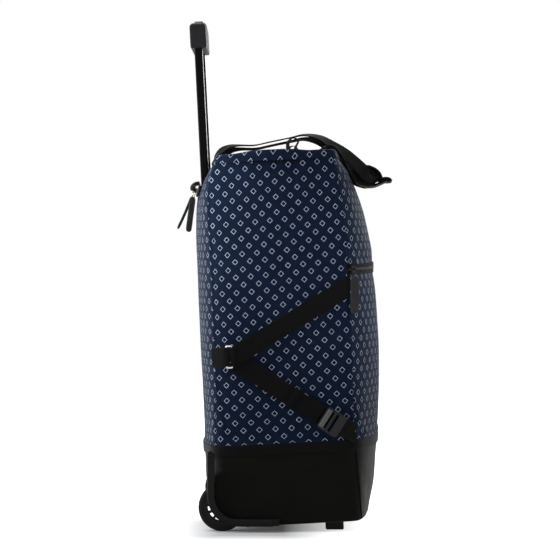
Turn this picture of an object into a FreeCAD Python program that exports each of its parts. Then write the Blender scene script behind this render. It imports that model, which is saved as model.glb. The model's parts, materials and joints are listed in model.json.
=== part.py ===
import FreeCAD, Part
import math
import os
from FreeCAD import Vector

# Shopping trolley: a tall soft bag on a stiff wheeled base with a telescopic pull handle.
# Millimetres, +Z up, +X towards the pocket side, the floor at Z = 0.
# The bag, its base and the handle lean back together, because the front feet are taller than
# the wheels need. Their shapes are written in the bag's own frame: X along the base, Z up the
# bag, both counted from the wheel axle. lean() sets them down, upright() places what is square
# to the floor.

# Driving dimensions
lean_angle = 2.86            # degrees
axle_setback = 99.2          # axle behind the middle of the object's outline
bag_width = 344.0
bag_depth = 222.0            # from the rear corner seams to the front corner seams
bag_height = 590.0
base_height = 129.0          # black base band
base_drop = 32.0             # underside of the bag below the axle
rear_seam = 6.0              # rear corner seams behind the axle
back_bulge = 25.0
front_bulge = 48.0
pocket_zip_height = 398.0    # pocket zip above the underside of the bag
pocket_zip_width = 17.0
pocket_room = 7.0            # hollow between the pocket and the front wall
rear_round = 77.0            # radius of the rounded rear edge under the bag
cloth = 2.0
webbing = 1.8
webbing_width = 30.0
seam_gap = 0.3               # between cloth panels that meet at a seam
lay_gap = 0.3                # between cloth and what lies on it
loft_step = 22.0             # spacing of the levels that shape the cloth

wheel_radius = 38.0
wheel_width = 22.0
wheel_inset = 20.0           # middle of a wheel in from the bag's side
tyre_depth = 8.0
rim_band = 6.5
hub_radius = 10.0
hub_length = 24.0
spoke_count = 12
spoke_width = 4.0
axle_radius = 4.0
bush_radius = 6.0
running_gap = 0.05
wheel_clearance = 3.0        # tyre to wheel arch
housing_wall = 2.7
cheek_gap = 0.5              # hub to the housing's cheeks

guard_width = 11.8
guard_depth = 8.7
guard_radius = 48.8          # outer radius round the rear corner
guard_ahead = 25.2           # corner centre ahead of the axle
guard_above = 19.9           # corner centre above the axle
guard_top = 94.0             # top of the upright rail above the axle
guard_reach = 80.2           # front end of the rail ahead of the axle
guard_slope = 9.0            # fall of the rail's head towards the front
clip_length = 10.0           # clip ahead of the rail's front end

foot_length = 29.0
foot_width = 24.0
foot_ahead = 176.5           # foot centre ahead of the axle
foot_inset = 42.0            # middle of a foot in from the bag's side
foot_round = 2.5             # rounding of a foot's edge on the floor
screw_radius = 2.0
screw_head = 3.6
board_thickness = 3.0

tube_spacing = 124.0
tube_setback = 4.4           # tube axis behind the axle
tube_depth = 13.0
tube_width = 19.0
tube_corner = 3.5
tube_wall = 1.2
outer_wall = 1.3
slide_gap = 0.7              # inner tube to the bore of the outer tube
plug_gap = 0.15
outer_top = 490.0            # top of the outer tubes above the axle
outer_bottom = 2.0
handle_travel = 165.0
tube_overlap = 90.0          # inner tube left inside the outer tube when drawn out
plug_length = 25.0
pin_radius = 2.5
pin_length = 8.0
pin_nose = 0.8               # bevel on the pin's end
bracket_height = 26.0
guide_height = 22.0

grip_bottom = 734.0
grip_height = 38.0           # at the grip's ends
grip_crown = 7.6             # the arched top's middle above its ends
grip_depth = 25.8
grip_length = 160.0
grip_ahead = 0.6             # grip centre ahead of the tube axis
grip_corner = 4.5
grip_heel = 2.5              # rounding of the lower edges
button_length = 34.0
button_depth = 14.5
button_rise = 3.1
button_travel = 3.5
rod_radius = 1.5

ring_height = 37.0
ring_width = 12.0
ring_bar = 3.0
ring_ahead = 29.5            # ring ahead of the rear seam
ring_level = 270.0           # ring above the underside of the bag
strap_rise = 108.0           # upper run's end at the front seam above the ring
strap_step = 4.0             # lower run's start below the ring's middle
buckle_behind = 36.0         # buckle behind the front seam
buckle_drop = 111.0          # buckle below the ring
buckle_length = 36.0
buckle_width = 37.0
buckle_height = 5.0
tab_drop = 25.0              # buckle tab's end at the front seam below the buckle
wrap_length = 120.0
wrap_depth = 48.0
wrap_height = 34.0
wrap_ahead = 44.0            # wrap ahead of the front seam
wrap_drop = 43.5             # wrap below the top of the bag
wrap_tilt = -25.0            # degrees
strap_arch = 24.8            # rear carry strap above the top of the bag
core_width = 30.0            # straps gathered in the wrap
wrap_wall = 3.0
leg_spacing = 150.0
leg_width = 28.0
strap_thickness = 2.4
core_rise = 10.0             # gathered strap above the middle of the wrap
slider_length = 10.0
slider_width = 8.0
slider_rise = 4.2            # pull's pin above the slider's seat
slider_seat = 2.5            # coil left under the parked main slider
zip_tape = 0.8
coil_rise = 1.6              # main zip's coil above the flaps
coil_depth = 1.0             # other zips' coils above their tapes
pull_thickness = 2.5
pull_width = 10.0
pull_length = 70.0
link_radius = 0.8
back_zip_drop = 53.0         # rear zip below the top of the bag
back_zip_overrun = 24.0      # rear zip's ends outside the tubes

# Worked out from the driving dimensions
z_bottom = -base_drop
z_band = z_bottom + base_height
z_zip = z_bottom + pocket_zip_height
z_top = z_bottom + bag_height
x_rear = -rear_seam
x_front = x_rear + bag_depth
half_width = bag_width / 2
wheel_y = half_width - wheel_inset
housing_inner = wheel_y - hub_length / 2 - cheek_gap
housing_outer = wheel_y + hub_length / 2 + cheek_gap
tube_y = tube_spacing / 2
outer_depth = tube_depth + 2 * (slide_gap + outer_wall)
outer_width = tube_width + 2 * (slide_gap + outer_wall)
inner_bottom = outer_top - tube_overlap
grip_x = grip_ahead - tube_setback
grip_top = grip_bottom + grip_height
grip_crest = grip_top + grip_crown
foot_y = half_width - foot_inset
SIDES = {"left": 1, "right": -1}


def outline_rows():
    """Level, rear seam, front seam, half width, rear bulge and front bulge at each level of the bag."""
    middle = (z_band + z_zip) / 2
    base_half = half_width - 2
    return [
        (z_bottom, x_rear, x_front + 2.5, base_half, 0.88 * back_bulge, 0.33 * front_bulge),
        (
            (z_bottom + z_band) / 2, x_rear - 1.5, x_front + 1, base_half,
            0.92 * back_bulge, 0.67 * front_bulge,
        ),
        (z_band, x_rear - 1.5, x_front, base_half, 0.90 * back_bulge, 0.86 * front_bulge),
        (middle, x_rear, x_front + 1.5, half_width, 0.96 * back_bulge, front_bulge),
        (z_zip, x_rear + 2, x_front + 2, half_width, back_bulge, 0.94 * front_bulge),
        (z_top - 108, x_rear + 2, x_front + 1, half_width - 2, 0.92 * back_bulge, 0.71 * front_bulge),
        (z_top - 53, x_rear + 3, x_front - 3, half_width - 6, 0.64 * back_bulge, 0.44 * front_bulge),
        (z_top - 18, x_rear + 14, x_front - 8, half_width - 10, 0.20 * back_bulge, 0.21 * front_bulge),
        (z_top, x_rear + 25, x_front - 11.5, half_width - 12, 0.08 * back_bulge, 0.10 * front_bulge),
    ]


ROWS = outline_rows()


def slope(index, column):
    """Rate of change of one outline value at a row."""
    low = ROWS[max(index - 1, 0)]
    high = ROWS[min(index + 1, len(ROWS) - 1)]
    return (high[column] - low[column]) / (high[0] - low[0])


def outline_at(level):
    """Rear seam, front seam, half width, rear bulge and front bulge at any level, on a smooth curve."""
    index = max(i for i in range(len(ROWS) - 1) if ROWS[i][0] <= max(level, ROWS[0][0]))
    low = ROWS[index]
    high = ROWS[index + 1]
    span = high[0] - low[0]
    t = (level - low[0]) / span
    values = []
    for column in range(1, 6):
        rise = (2 * t**3 - 3 * t**2 + 1) * low[column] + (3 * t**2 - 2 * t**3) * high[column]
        rise += (t**3 - 2 * t**2 + t) * span * slope(index, column)
        rise += (t**3 - t**2) * span * slope(index + 1, column)
        values.append(rise)
    return values


def levels(bottom, top):
    """Evenly spaced levels to loft through between two heights."""
    steps = max(1, math.ceil((top - bottom) / loft_step))
    return [bottom + (top - bottom) * k / steps for k in range(steps + 1)]


# Shape helpers

def box(low, high):
    return Part.makeBox(high[0] - low[0], high[1] - low[1], high[2] - low[2], Vector(*low))


def rod(radius, start, end):
    start = Vector(*start)
    along = Vector(*end) - start
    return Part.makeCylinder(radius, along.Length, start, along)


def y_disc(radius, x, z, y_low, y_high):
    return rod(radius, (x, y_low, z), (x, y_high, z))


def y_prism(points, y_low, y_high):
    """A polygon in the X-Z plane drawn out along Y."""
    corners = [Vector(x, y_low, z) for x, z in points]
    face = Part.Face(Part.makePolygon(corners + corners[:1]))
    return face.extrude(Vector(0, y_high - y_low, 0))


def z_prism(points, z_low, z_high):
    """A polygon in the X-Y plane drawn out along Z."""
    corners = [Vector(x, y, z_low) for x, y in points]
    face = Part.Face(Part.makePolygon(corners + corners[:1]))
    return face.extrude(Vector(0, 0, z_high - z_low))


def fuse(shapes):
    whole = shapes[0]
    for shape in shapes[1:]:
        whole = whole.fuse(shape)
    return whole.removeSplitter()


def edges_along(shape, axis):
    """The straight edges of a shape that run along an axis."""
    found = []
    for edge in shape.Edges:
        if isinstance(edge.Curve, Part.Line):
            if abs(edge.Curve.Direction.dot(axis)) > 0.999:
                found.append(edge)
    return found


def rounded_box(low, high, radius, axis):
    """A box with the edges along one axis rounded."""
    block = box(low, high)
    return block.makeFillet(radius, edges_along(block, axis))


def oval_bar(depth, width, corner, z_low, z_high, y=0.0):
    """A bar with the telescopic tubes' rounded outline, standing on the tube axis."""
    low = (-tube_setback - depth / 2, y - width / 2, z_low)
    high = (-tube_setback + depth / 2, y + width / 2, z_high)
    return rounded_box(low, high, corner, Vector(0, 0, 1))


def on_side(shape, side):
    """The shape as made for the left side (+Y), or its mirror image for the right."""
    if side > 0:
        return shape
    return shape.mirror(Vector(0, 0, 0), Vector(0, 1, 0))


def lean(shape):
    """Tip a shape in the bag's frame back about the axle and set it on the floor."""
    placed = shape.copy()
    placed.rotate(Vector(0, 0, 0), Vector(0, 1, 0), -lean_angle)
    placed.translate(Vector(-axle_setback, 0, wheel_radius))
    return placed


def upright(shape):
    """Set a shape that is square to the floor and counted from the axle."""
    placed = shape.copy()
    placed.translate(Vector(-axle_setback, 0, wheel_radius))
    return placed


def in_bag_frame(x, z):
    """A point counted from the axle square to the floor, in the bag's frame."""
    a = math.radians(lean_angle)
    return x * math.cos(a) + z * math.sin(a), z * math.cos(a) - x * math.sin(a)


# Cloth panels

def arc_points(seam, half, bulge, facing, inset, reach, level):
    """Start, middle and end of a bowed wall at one level, inset from its outer face."""
    radius = (half**2 + bulge**2) / (2 * bulge)
    centre = seam + facing * (bulge - radius)
    turn = math.asin(reach / radius)
    r = radius - inset
    x_end = centre + facing * r * math.cos(turn)
    return [
        Vector(x_end, -r * math.sin(turn), level),
        Vector(centre + facing * r, 0, level),
        Vector(x_end, r * math.sin(turn), level),
    ]


def wall_wire(facing, level, inset, thickness, reach=None):
    """The closed outline of a bowed wall at one level. facing is 1 at the front and -1 at the rear."""
    rear, front, half, rear_bow, front_bow = outline_at(level)
    seam = front if facing > 0 else rear
    bow = front_bow if facing > 0 else rear_bow
    span = reach if reach else half - seam_gap
    outer = arc_points(seam, half, bow, facing, inset, span, level)
    inner = arc_points(seam, half, bow, facing, inset + thickness, span, level)
    return Part.Wire([
        Part.Arc(*outer).toShape(),
        Part.makeLine(outer[2], inner[2]),
        Part.Arc(inner[2], inner[1], inner[0]).toShape(),
        Part.makeLine(inner[0], outer[0]),
    ])


def bowed_wall(facing, rows, thickness, reach=None, ruled=False):
    """A bowed wall lofted through (level, inset) rows."""
    wires = [wall_wire(facing, level, inset, thickness, reach) for level, inset in rows]
    return Part.makeLoft(wires, True, ruled)


def flush(bottom, top, inset):
    """Rows at one inset between two levels."""
    return [(level, inset) for level in levels(bottom, top)]


def side_wall(bottom, top):
    """The flat side wall at +Y between two levels."""
    wires = []
    for level in levels(bottom, top):
        rear, front, half, rear_bow, front_bow = outline_at(level)
        end = cloth + 2 * seam_gap
        corners = [
            Vector(rear + end, half - cloth, level),
            Vector(front - end, half - cloth, level),
            Vector(front - end, half, level),
            Vector(rear + end, half, level),
        ]
        wires.append(Part.makePolygon(corners + corners[:1]))
    return Part.makeLoft(wires, True, False)


def tube_wire(level, offset):
    """The closed outline of the whole bag at one level, offset outwards."""
    rear, front, half, rear_bow, front_bow = outline_at(level)
    side = half + offset
    ends = []
    for seam, bow, facing in ((front, front_bow, 1), (rear, rear_bow, -1)):
        radius = (half**2 + bow**2) / (2 * bow)
        centre = seam + facing * (bow - radius)
        r = radius + offset
        x_end = centre + facing * math.sqrt(r**2 - side**2)
        middle = Vector(centre + facing * r, 0, level)
        ends.append((Vector(x_end, -side, level), middle, Vector(x_end, side, level)))
    (f0, f1, f2), (r0, r1, r2) = ends
    return Part.Wire([
        Part.Arc(f0, f1, f2).toShape(),
        Part.makeLine(f2, r2),
        Part.Arc(r2, r1, r0).toShape(),
        Part.makeLine(r0, f0),
    ])


def bag_solid(bottom, top, offset):
    """The bag as a filled solid between two levels, offset outwards."""
    wires = [tube_wire(level, offset) for level in levels(bottom, top)]
    return Part.makeLoft(wires, True, False)


def rear_profile(inset):
    """Everything inside the rounded rear edge under the bag, inset from it."""
    x_mid = rear_round - rear_seam - back_bulge - 1
    z_mid = z_bottom + rear_round
    radius = rear_round - inset
    far = bag_depth * 2
    high = bag_height * 2
    a = Vector(x_mid, -half_width * 2, z_mid - radius)
    b = Vector(x_mid - radius, -half_width * 2, z_mid)
    turn = radius / math.sqrt(2)
    bend = Vector(x_mid - turn, -half_width * 2, z_mid - turn)
    c = Vector(b.x, a.y, high)
    d = Vector(far, a.y, high)
    e = Vector(far, a.y, a.z)
    wire = Part.Wire([
        Part.Arc(a, bend, b).toShape(),
        Part.makeLine(b, c),
        Part.makeLine(c, d),
        Part.makeLine(d, e),
        Part.makeLine(e, a),
    ])
    return Part.Face(wire).extrude(Vector(0, half_width * 4, 0))


def guard_centre():
    """The rear corner rail's centre in the bag's frame."""
    return in_bag_frame(guard_ahead, guard_above)


def beyond_guard(radius):
    """The quarter outside a circle about the rail's corner centre, on both outer sides of the wheels."""
    x, z = guard_centre()
    far = 3 * guard_radius
    quarter = box((x - far, -half_width * 2, z - far), (x, half_width * 2, z))
    return quarter.cut(y_disc(radius, x, z, -half_width * 2, half_width * 2))


def base_cloth():
    """The black base: a seamed tray of coated cloth, open over the wheels."""
    outer = bag_solid(z_bottom, z_band, 0).common(rear_profile(0))
    inner = bag_solid(z_bottom + cloth, z_band + 1, -cloth).common(rear_profile(cloth))
    tray = outer.cut(inner)
    arch = wheel_radius + wheel_clearance + housing_wall + lay_gap
    rail = guard_radius - guard_width / 2
    for side in (1, -1):
        inner = housing_inner - housing_wall - lay_gap
        low, high = sorted((side * inner, side * (half_width - 2 - cloth)))
        tray = tray.cut(y_disc(arch, 0, 0, low, high))
        low, high = sorted((side * housing_inner, side * half_width * 1.5))
        reach = bag_depth * 2
        corner = beyond_guard(rail).common(box((-reach, low, -reach), (reach, high, reach)))
        tray = tray.cut(corner)
        tray = tray.cut(rod(screw_radius + 0.2, (foot_ahead, side * foot_y, -99),
                            (foot_ahead, side * foot_y, z_bottom + 9)))
    return tray


def front_panel():
    """The printed front wall. Below the pocket zip it drops back to leave the pocket's room."""
    low = z_band + lay_gap
    zip_low = z_zip - pocket_zip_width / 2
    lap = cloth + lay_gap
    steps = 6
    rows = []
    for k in range(steps + 1):
        share = k / steps
        rows.append((low + share * (zip_low - low), lap + pocket_room * math.sin(math.pi * share)))
    rows += flush(z_zip + pocket_zip_width / 2, z_top - lay_gap, 0.0)
    return bowed_wall(1, rows, cloth, ruled=True)


def pocket_panel():
    top = z_zip - pocket_zip_width / 2 - lay_gap
    return bowed_wall(1, flush(z_band + lay_gap, top, 0.0), cloth)


def pocket_zip_tape():
    """The black zip across the front, with its coil as a raised middle line."""
    low = z_zip - pocket_zip_width / 2
    high = z_zip + pocket_zip_width / 2
    outward = -webbing - lay_gap
    tape = bowed_wall(1, [(low, outward), (z_zip, outward), (high, outward)], webbing)
    coil_rows = [(z_zip + lift, outward - coil_depth) for lift in (-2.5, 0, 2.5)]
    return tape.fuse(bowed_wall(1, coil_rows, coil_depth))


def back_panel():
    """The printed rear wall, with two holes that the inner tubes pass through."""
    wall = bowed_wall(-1, flush(z_band + lay_gap, z_top - lay_gap, 0.0), cloth)
    for side in (1, -1):
        hole = oval_bar(
            tube_depth + 2, tube_width + 2, tube_corner + 1, z_top - 80, z_top + 20, side * tube_y
        )
        wall = wall.cut(hole)
    return wall


def top_flap(facing):
    """One half of the zipped top. It folds down into the bag about its outer edge."""
    rear, front, half, rear_bow, front_bow = outline_at(z_top)
    split = flap_split()
    reach = half - cloth - 1
    edge = front - cloth - lay_gap if facing > 0 else rear + cloth + lay_gap
    zip_edge = split + facing * 3.3
    low, high = sorted((edge, zip_edge))
    flap = box((low, -reach, z_top - cloth), (high, reach, z_top))
    park = main_zip_end()
    tape_low, tape_high = sorted((zip_edge, zip_edge + facing * 12))
    tape = box((tape_low, -park, z_top), (tape_high, park, z_top + zip_tape))
    coil_low, coil_high = sorted((zip_edge - facing * 2.2, zip_edge + facing * 1.5))
    coil = box((coil_low, -park, z_top - 0.6), (coil_high, park, z_top + coil_rise))
    notch_low, notch_high = sorted((zip_edge, zip_edge + facing * 3))
    flap = flap.cut(box((notch_low, park, z_top - 9), (notch_high, reach + 9, z_top + 9)))
    flap = flap.cut(box((notch_low, -reach - 9, z_top - 9), (notch_high, -park, z_top + 9)))
    return fuse([flap, tape, coil])


def flap_split():
    """The main zip's line, across the middle of the top."""
    rear, front, half, rear_bow, front_bow = outline_at(z_top)
    return (rear + front) / 2


# Wheels and the base's hard parts

def tyre():
    half = wheel_width / 2
    ring = y_disc(wheel_radius, 0, 0, -half, half)
    ring = ring.makeFillet(4.5, [e for e in ring.Edges if isinstance(e.Curve, Part.Circle)])
    ring = ring.cut(y_disc(wheel_radius - tyre_depth, 0, 0, -half, half))
    return ring


def wheel_rim():
    """Rim band, twelve spokes and hub, bored for the bush."""
    rim_radius = wheel_radius - tyre_depth
    half = wheel_width / 2 - 1
    band = y_disc(rim_radius, 0, 0, -half, half).cut(y_disc(rim_radius - rim_band, 0, 0, -half, half))
    hub = y_disc(hub_radius, 0, 0, -hub_length / 2, hub_length / 2)
    parts = [band, hub]
    for k in range(spoke_count):
        spoke = box((hub_radius - 2, -half * 0.55, -spoke_width / 2),
                    (rim_radius - rim_band + 1, half * 0.55, spoke_width / 2))
        spoke.rotate(Vector(0, 0, 0), Vector(0, 1, 0), -(k + 0.75) * 360 / spoke_count)
        parts.append(spoke)
    rim = fuse(parts)
    return rim.cut(y_disc(bush_radius, 0, 0, -hub_length, hub_length))


def wheel_bush():
    half = hub_length / 2
    return y_disc(bush_radius, 0, 0, -half, half).cut(y_disc(axle_radius + running_gap, 0, 0, -half, half))


def wheel_axle():
    """A headed pin through both cheeks, with its nut on the inner one."""
    inner = housing_inner - housing_wall
    pin = y_disc(axle_radius, 0, 0, inner - 6, housing_outer + housing_wall)
    flat = axle_radius * 1.75
    turns = [math.radians(60 * k) for k in range(6)]
    corners = [(flat * math.cos(turn), flat * math.sin(turn)) for turn in turns]
    nut = y_prism(corners, inner - 5, inner)
    return fuse([pin, nut])


def wheel_housing():
    """The moulded well over one wheel: an arch between two cheeks that hold the axle."""
    arch_radius = wheel_radius + wheel_clearance + housing_wall
    y_in = housing_inner - housing_wall
    y_out = housing_outer + housing_wall
    well = y_disc(arch_radius, 0, 0, y_in, y_out)
    well = well.cut(y_disc(arch_radius - housing_wall, 0, 0, housing_inner, housing_outer))
    x, z = guard_centre()
    well = well.common(y_disc(guard_radius - 1.3, x, z, y_in - 1, y_out + 1))
    floor = z_bottom + cloth + lay_gap
    well = well.common(box((-99, y_in - 1, floor), (99, y_out + 1, 99)))
    rib_top = arch_radius + 4
    ribs = []
    for k in range(3):
        y = y_in + housing_wall + (k + 0.5) * (y_out - y_in - 2 * housing_wall) / 3
        rib = y_disc(rib_top, 0, 0, y - 1, y + 1).cut(y_disc(arch_radius - 1, 0, 0, y - 2, y + 2))
        ribs.append(rib.common(box((0, y - 2, 0), (99, y + 2, 99))))
    well = fuse([well] + ribs)
    return well.cut(y_disc(axle_radius, 0, 0, y_in - 1, y_out + 1))


def rail_outline(r_out, r_in, top, reach, y_low, y_high):
    """An L-shaped strip: up the rear, round the corner and forward along the underside."""
    x, z = guard_ahead, guard_above
    turn = 1 / math.sqrt(2)
    y = y_low
    bends = []
    for radius in (r_out, r_in):
        middle = Vector(x - radius * turn, y, z - radius * turn)
        bends.append([Vector(x - radius, y, z), middle, Vector(x, y, z - radius)])
    outer, inner = bends
    left = Vector(x - r_out, y, top)
    right = Vector(x - r_in, y, top - guard_slope)
    end_low = Vector(reach, y, z - r_out)
    end_high = Vector(reach, y, z - r_in)
    wire = Part.Wire([
        Part.Arc(*outer).toShape(),
        Part.makeLine(outer[2], end_low),
        Part.makeLine(end_low, end_high),
        Part.makeLine(end_high, inner[2]),
        Part.Arc(inner[2], inner[1], inner[0]).toShape(),
        Part.makeLine(inner[0], right),
        Part.makeLine(right, left),
        Part.makeLine(left, outer[0]),
    ])
    rail = Part.Face(wire).extrude(Vector(0, y_high - y_low, 0))
    head = [e for e in edges_along(rail, Vector(0, 1, 0)) if e.CenterOfMass.z > top - guard_slope - 0.1]
    return rail.makeFillet(3.5, head)


def corner_guard():
    """The wheel-side skid: a rail round the rear lower corner, with a ribbed, sloping head and a clip."""
    wall = half_width - 2 + lay_gap
    face = wall + guard_depth
    rail = rail_outline(guard_radius, guard_radius - guard_width, guard_top, guard_reach, wall, face)
    rail = rail.makeFillet(3.0, [e for e in rail.Edges if e.BoundBox.YMin > face - 0.1])
    lip = y_disc(guard_radius, guard_ahead, guard_above, housing_outer + housing_wall, wall + 1)
    middle = guard_radius - guard_width / 2
    lip = lip.cut(y_disc(middle + lay_gap, guard_ahead, guard_above, 0, half_width))
    far = 2 * guard_radius
    corner = Vector(guard_ahead - 2, half_width * 2, guard_above - 2)
    lip = lip.common(box((guard_ahead - far, 0, guard_above - far), corner))
    low = guard_above - guard_radius + 1
    clip_top = low + guard_width - 1
    clip_face = wall + guard_depth * 0.6
    clip = box((guard_reach - 1, wall, low), (guard_reach + clip_length, clip_face, clip_top))
    ribs = []
    for k in range(6):
        z = guard_top - 8 - 3.6 * k
        x = guard_ahead - guard_radius
        ribs.append(box((x + 1.2, wall + 1, z), (x + guard_width * 0.55, face + 0.5, z + 1.6)))
    return fuse([rail, lip, clip] + ribs)


def front_foot(side):
    """A moulded foot that stands on the floor, rounded there, and seats against the leaning underside."""
    y = side * foot_y
    block = rounded_box((foot_ahead - foot_length / 2, y - foot_width / 2, z_bottom - 30),
                        (foot_ahead + foot_length / 2, y + foot_width / 2, z_bottom), 3.0, Vector(0, 0, 1))
    block = block.cut(rod(screw_radius, (foot_ahead, y, z_bottom - 40), (foot_ahead, y, z_bottom + 1)))
    block = block.cut(rod(screw_head + 0.4, (foot_ahead, y, z_bottom - 40), (foot_ahead, y, z_bottom - 6)))
    below_floor = box((-bag_depth * 2, -half_width * 2, -99), (bag_depth * 2, half_width * 2, 0))
    standing = lean(block).cut(below_floor).Solids[0]
    rim = [edge for edge in standing.Edges if edge.BoundBox.ZMax < 0.01 and not edge.isClosed()]
    return standing.makeFillet(foot_round, rim)


def foot_screws():
    screws = []
    for side in (1, -1):
        y = side * foot_y
        head = rod(screw_head, (foot_ahead, y, z_bottom - 8.5), (foot_ahead, y, z_bottom - 6))
        shank = rod(screw_radius, (foot_ahead, y, z_bottom - 7),
                    (foot_ahead, y, z_bottom + cloth + lay_gap + board_thickness + 2))
        screws.append(head.fuse(shank).removeSplitter())
    return Part.Compound(screws)


def base_board():
    """The stiff bottom plate: flat, turned up along the rounded rear edge, with stiffening ribs."""
    low = z_bottom + cloth + lay_gap
    reach = housing_inner - housing_wall
    front = x_front - 10
    x_mid = rear_round - rear_seam - back_bulge - 1
    z_mid = z_bottom + rear_round
    r_out = z_mid - low
    r_in = r_out - board_thickness
    curved = y_disc(r_out, x_mid, z_mid, -reach, reach).cut(y_disc(r_in, x_mid, z_mid, -reach, reach))
    curved = curved.common(box((-tube_setback - 4, -reach, low - 1), (x_mid, reach, z_mid)))
    flat = box((x_mid, -reach, low), (front, reach, low + board_thickness))
    parts = [curved, flat]
    rib_pitch = 2 * reach / 6
    for k in range(1, 6):
        y = -reach + rib_pitch * k
        parts.append(box((x_mid, y - 1.5, low + board_thickness - 0.5),
                         (front - 30, y + 1.5, low + board_thickness + 5)))
    board = fuse(parts)
    for side in (1, -1):
        y = side * foot_y
        board = board.cut(rod(screw_radius, (foot_ahead, y, low - 1), (foot_ahead, y, low + 20)))
    return board


# Telescopic handle

def outer_tube(side):
    y = side * tube_y
    tube = oval_bar(outer_depth, outer_width, tube_corner + 2, outer_bottom, outer_top, y)
    tube = tube.cut(oval_bar(outer_depth - 2 * outer_wall, outer_width - 2 * outer_wall, tube_corner + 1,
                             outer_bottom - 1, outer_top + 1, y))
    for z in (pin_z(), pin_z() - handle_travel):
        hole = y_disc(pin_radius + 0.3, -tube_setback, z, y, y + side * outer_width)
        tube = tube.cut(hole)
    return tube


def tube_foot_bracket():
    """The moulded block that ties both outer tubes to the base board."""
    reach = tube_y + outer_width / 2 + 5
    x_mid = rear_round - rear_seam - back_bulge - 1
    z_mid = z_bottom + rear_round
    board_top = z_mid - (z_bottom + cloth + lay_gap) - board_thickness
    block = box((-tube_setback - outer_depth / 2 - 3, -reach, z_bottom),
                (outer_depth / 2 + 16, reach, bracket_height))
    block = block.common(y_disc(board_top, x_mid, z_mid, -reach, reach))
    inner = tube_y - outer_width / 2 - 4
    window = box((-99, -inner, 8), (outer_depth / 2 + 12, inner, 99))
    block = block.cut(window)
    for side in (1, -1):
        tube = oval_bar(outer_depth, outer_width, tube_corner + 2, outer_bottom, 99, side * tube_y)
        block = block.cut(tube)
    return block


def tube_guide():
    """The cross piece on top of the outer tubes, with a collar that guides each inner tube."""
    reach = tube_y + outer_width / 2 + 3
    x = -tube_setback
    z_low = outer_top - guide_height + 6
    z_high = outer_top + 6
    half = outer_depth / 2 + 1.8
    bar = rounded_box((x - half, -reach, z_low), (x + half, reach, z_high), 4.0, Vector(0, 0, 1))
    window = box((x - half + 2.5, -tube_y + outer_width / 2 + 3, z_low - 1),
                 (x + half - 2.5, tube_y - outer_width / 2 - 3, z_high - 3))
    bar = bar.cut(window)
    for side in (1, -1):
        y = side * tube_y
        bar = bar.cut(oval_bar(outer_depth, outer_width, tube_corner + 2, z_low - 1, outer_top, y))
        bar = bar.cut(oval_bar(tube_depth + 2 * plug_gap, tube_width + 2 * plug_gap, tube_corner,
                               outer_top - 1, z_high + 1, y))
    return bar


def inner_tube(side):
    y = side * tube_y
    top = grip_bottom + 9
    tube = oval_bar(tube_depth, tube_width, tube_corner, inner_bottom, top, y)
    return tube.cut(oval_bar(tube_depth - 2 * tube_wall, tube_width - 2 * tube_wall, tube_corner - 1,
                             inner_bottom - 1, top + 1, y))


def tube_plug(side):
    """The end plug of an inner tube, with a foot as wide as the outer tube's bore.

    The foot is bored across for the lock pin, and the plug lengthways for the release rod.
    """
    y = side * tube_y
    bore_depth = outer_depth - 2 * outer_wall - 2 * plug_gap
    bore_width = outer_width - 2 * outer_wall - 2 * plug_gap
    stem = oval_bar(tube_depth - 2 * tube_wall, tube_width - 2 * tube_wall, tube_corner - 1,
                    inner_bottom, inner_bottom + plug_length, y)
    foot = oval_bar(bore_depth, bore_width, tube_corner + 1, inner_bottom - 22, inner_bottom, y)
    plug = fuse([stem, foot])
    z = inner_bottom - 11
    bore = y_disc(pin_radius + running_gap, -tube_setback, z, y - side * 3, y + side * outer_width)
    plug = plug.cut(bore)
    shaft = rod(rod_radius + 0.3, (-tube_setback, y, z), (-tube_setback, y, inner_bottom + 99))
    return plug.cut(shaft)


def pin_z():
    """Level of the lock pins, in the plugs' feet."""
    return inner_bottom - 11


def lock_pin(side):
    """A lock pin drawn into its plug, flush with the plug's side."""
    y_tip = tube_y + outer_width / 2 - outer_wall - plug_gap
    y_nose = y_tip - pin_nose
    pin = y_disc(pin_radius, -tube_setback, pin_z(), y_tip - pin_length, y_nose)
    base = Vector(-tube_setback, y_nose, pin_z())
    nose = Part.makeCone(pin_radius, pin_radius - pin_nose, pin_nose, base, Vector(0, 1, 0))
    return on_side(pin.fuse(nose), side)


def grip_shell():
    """The outside of the pull grip before it is split into body and cover."""
    x = grip_x - grip_depth / 2
    y = grip_length / 2
    ends = [Vector(x, -y, grip_top), Vector(x, y, grip_top)]
    arch = Part.Arc(ends[0], Vector(x, 0, grip_crest), ends[1]).toShape()
    heel = [Vector(x, y, grip_bottom), Vector(x, -y, grip_bottom)]
    sides = Part.makePolygon([ends[1], heel[0], heel[1], ends[0]])
    block = Part.Face(Part.Wire([arch] + sides.Edges)).extrude(Vector(grip_depth, 0, 0))
    long_edges = [e for e in block.Edges if e.BoundBox.YLength > grip_length - 1]
    block = block.makeFillet(grip_corner, [e for e in long_edges if e.CenterOfMass.z > grip_split()])
    heels = [e for e in block.Edges if e.BoundBox.YLength > grip_length - 1]
    block = block.makeFillet(grip_heel, [e for e in heels if e.BoundBox.ZMax < grip_bottom + 0.1])
    return block.makeFillet(2.0, [e for e in block.Edges if abs(abs(e.CenterOfMass.y) - y) < 0.1])


def grip_split():
    return grip_bottom + 0.55 * grip_height


def grip_cavity():
    x = -tube_setback
    room = box((x - 6, -tube_y - 5, grip_bottom + 9), (x + 10, tube_y + 5, grip_top - 9))
    return room.fuse(rod(5.2, (x, 0, grip_bottom + 4), (x, 0, grip_bottom + 12)))


def grip_body():
    """The lower grip moulding, with sockets for the tubes and room for the release bar."""
    body = grip_shell().common(box((-99, -200, 0), (99, 200, grip_split())))
    body = body.cut(grip_cavity())
    for side in (1, -1):
        low, high = grip_bottom - 1, grip_bottom + 9
        body = body.cut(oval_bar(tube_depth, tube_width, tube_corner, low, high, side * tube_y))
    return body


def button_x():
    """The push button sits over the middle of the grip."""
    return grip_x


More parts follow.
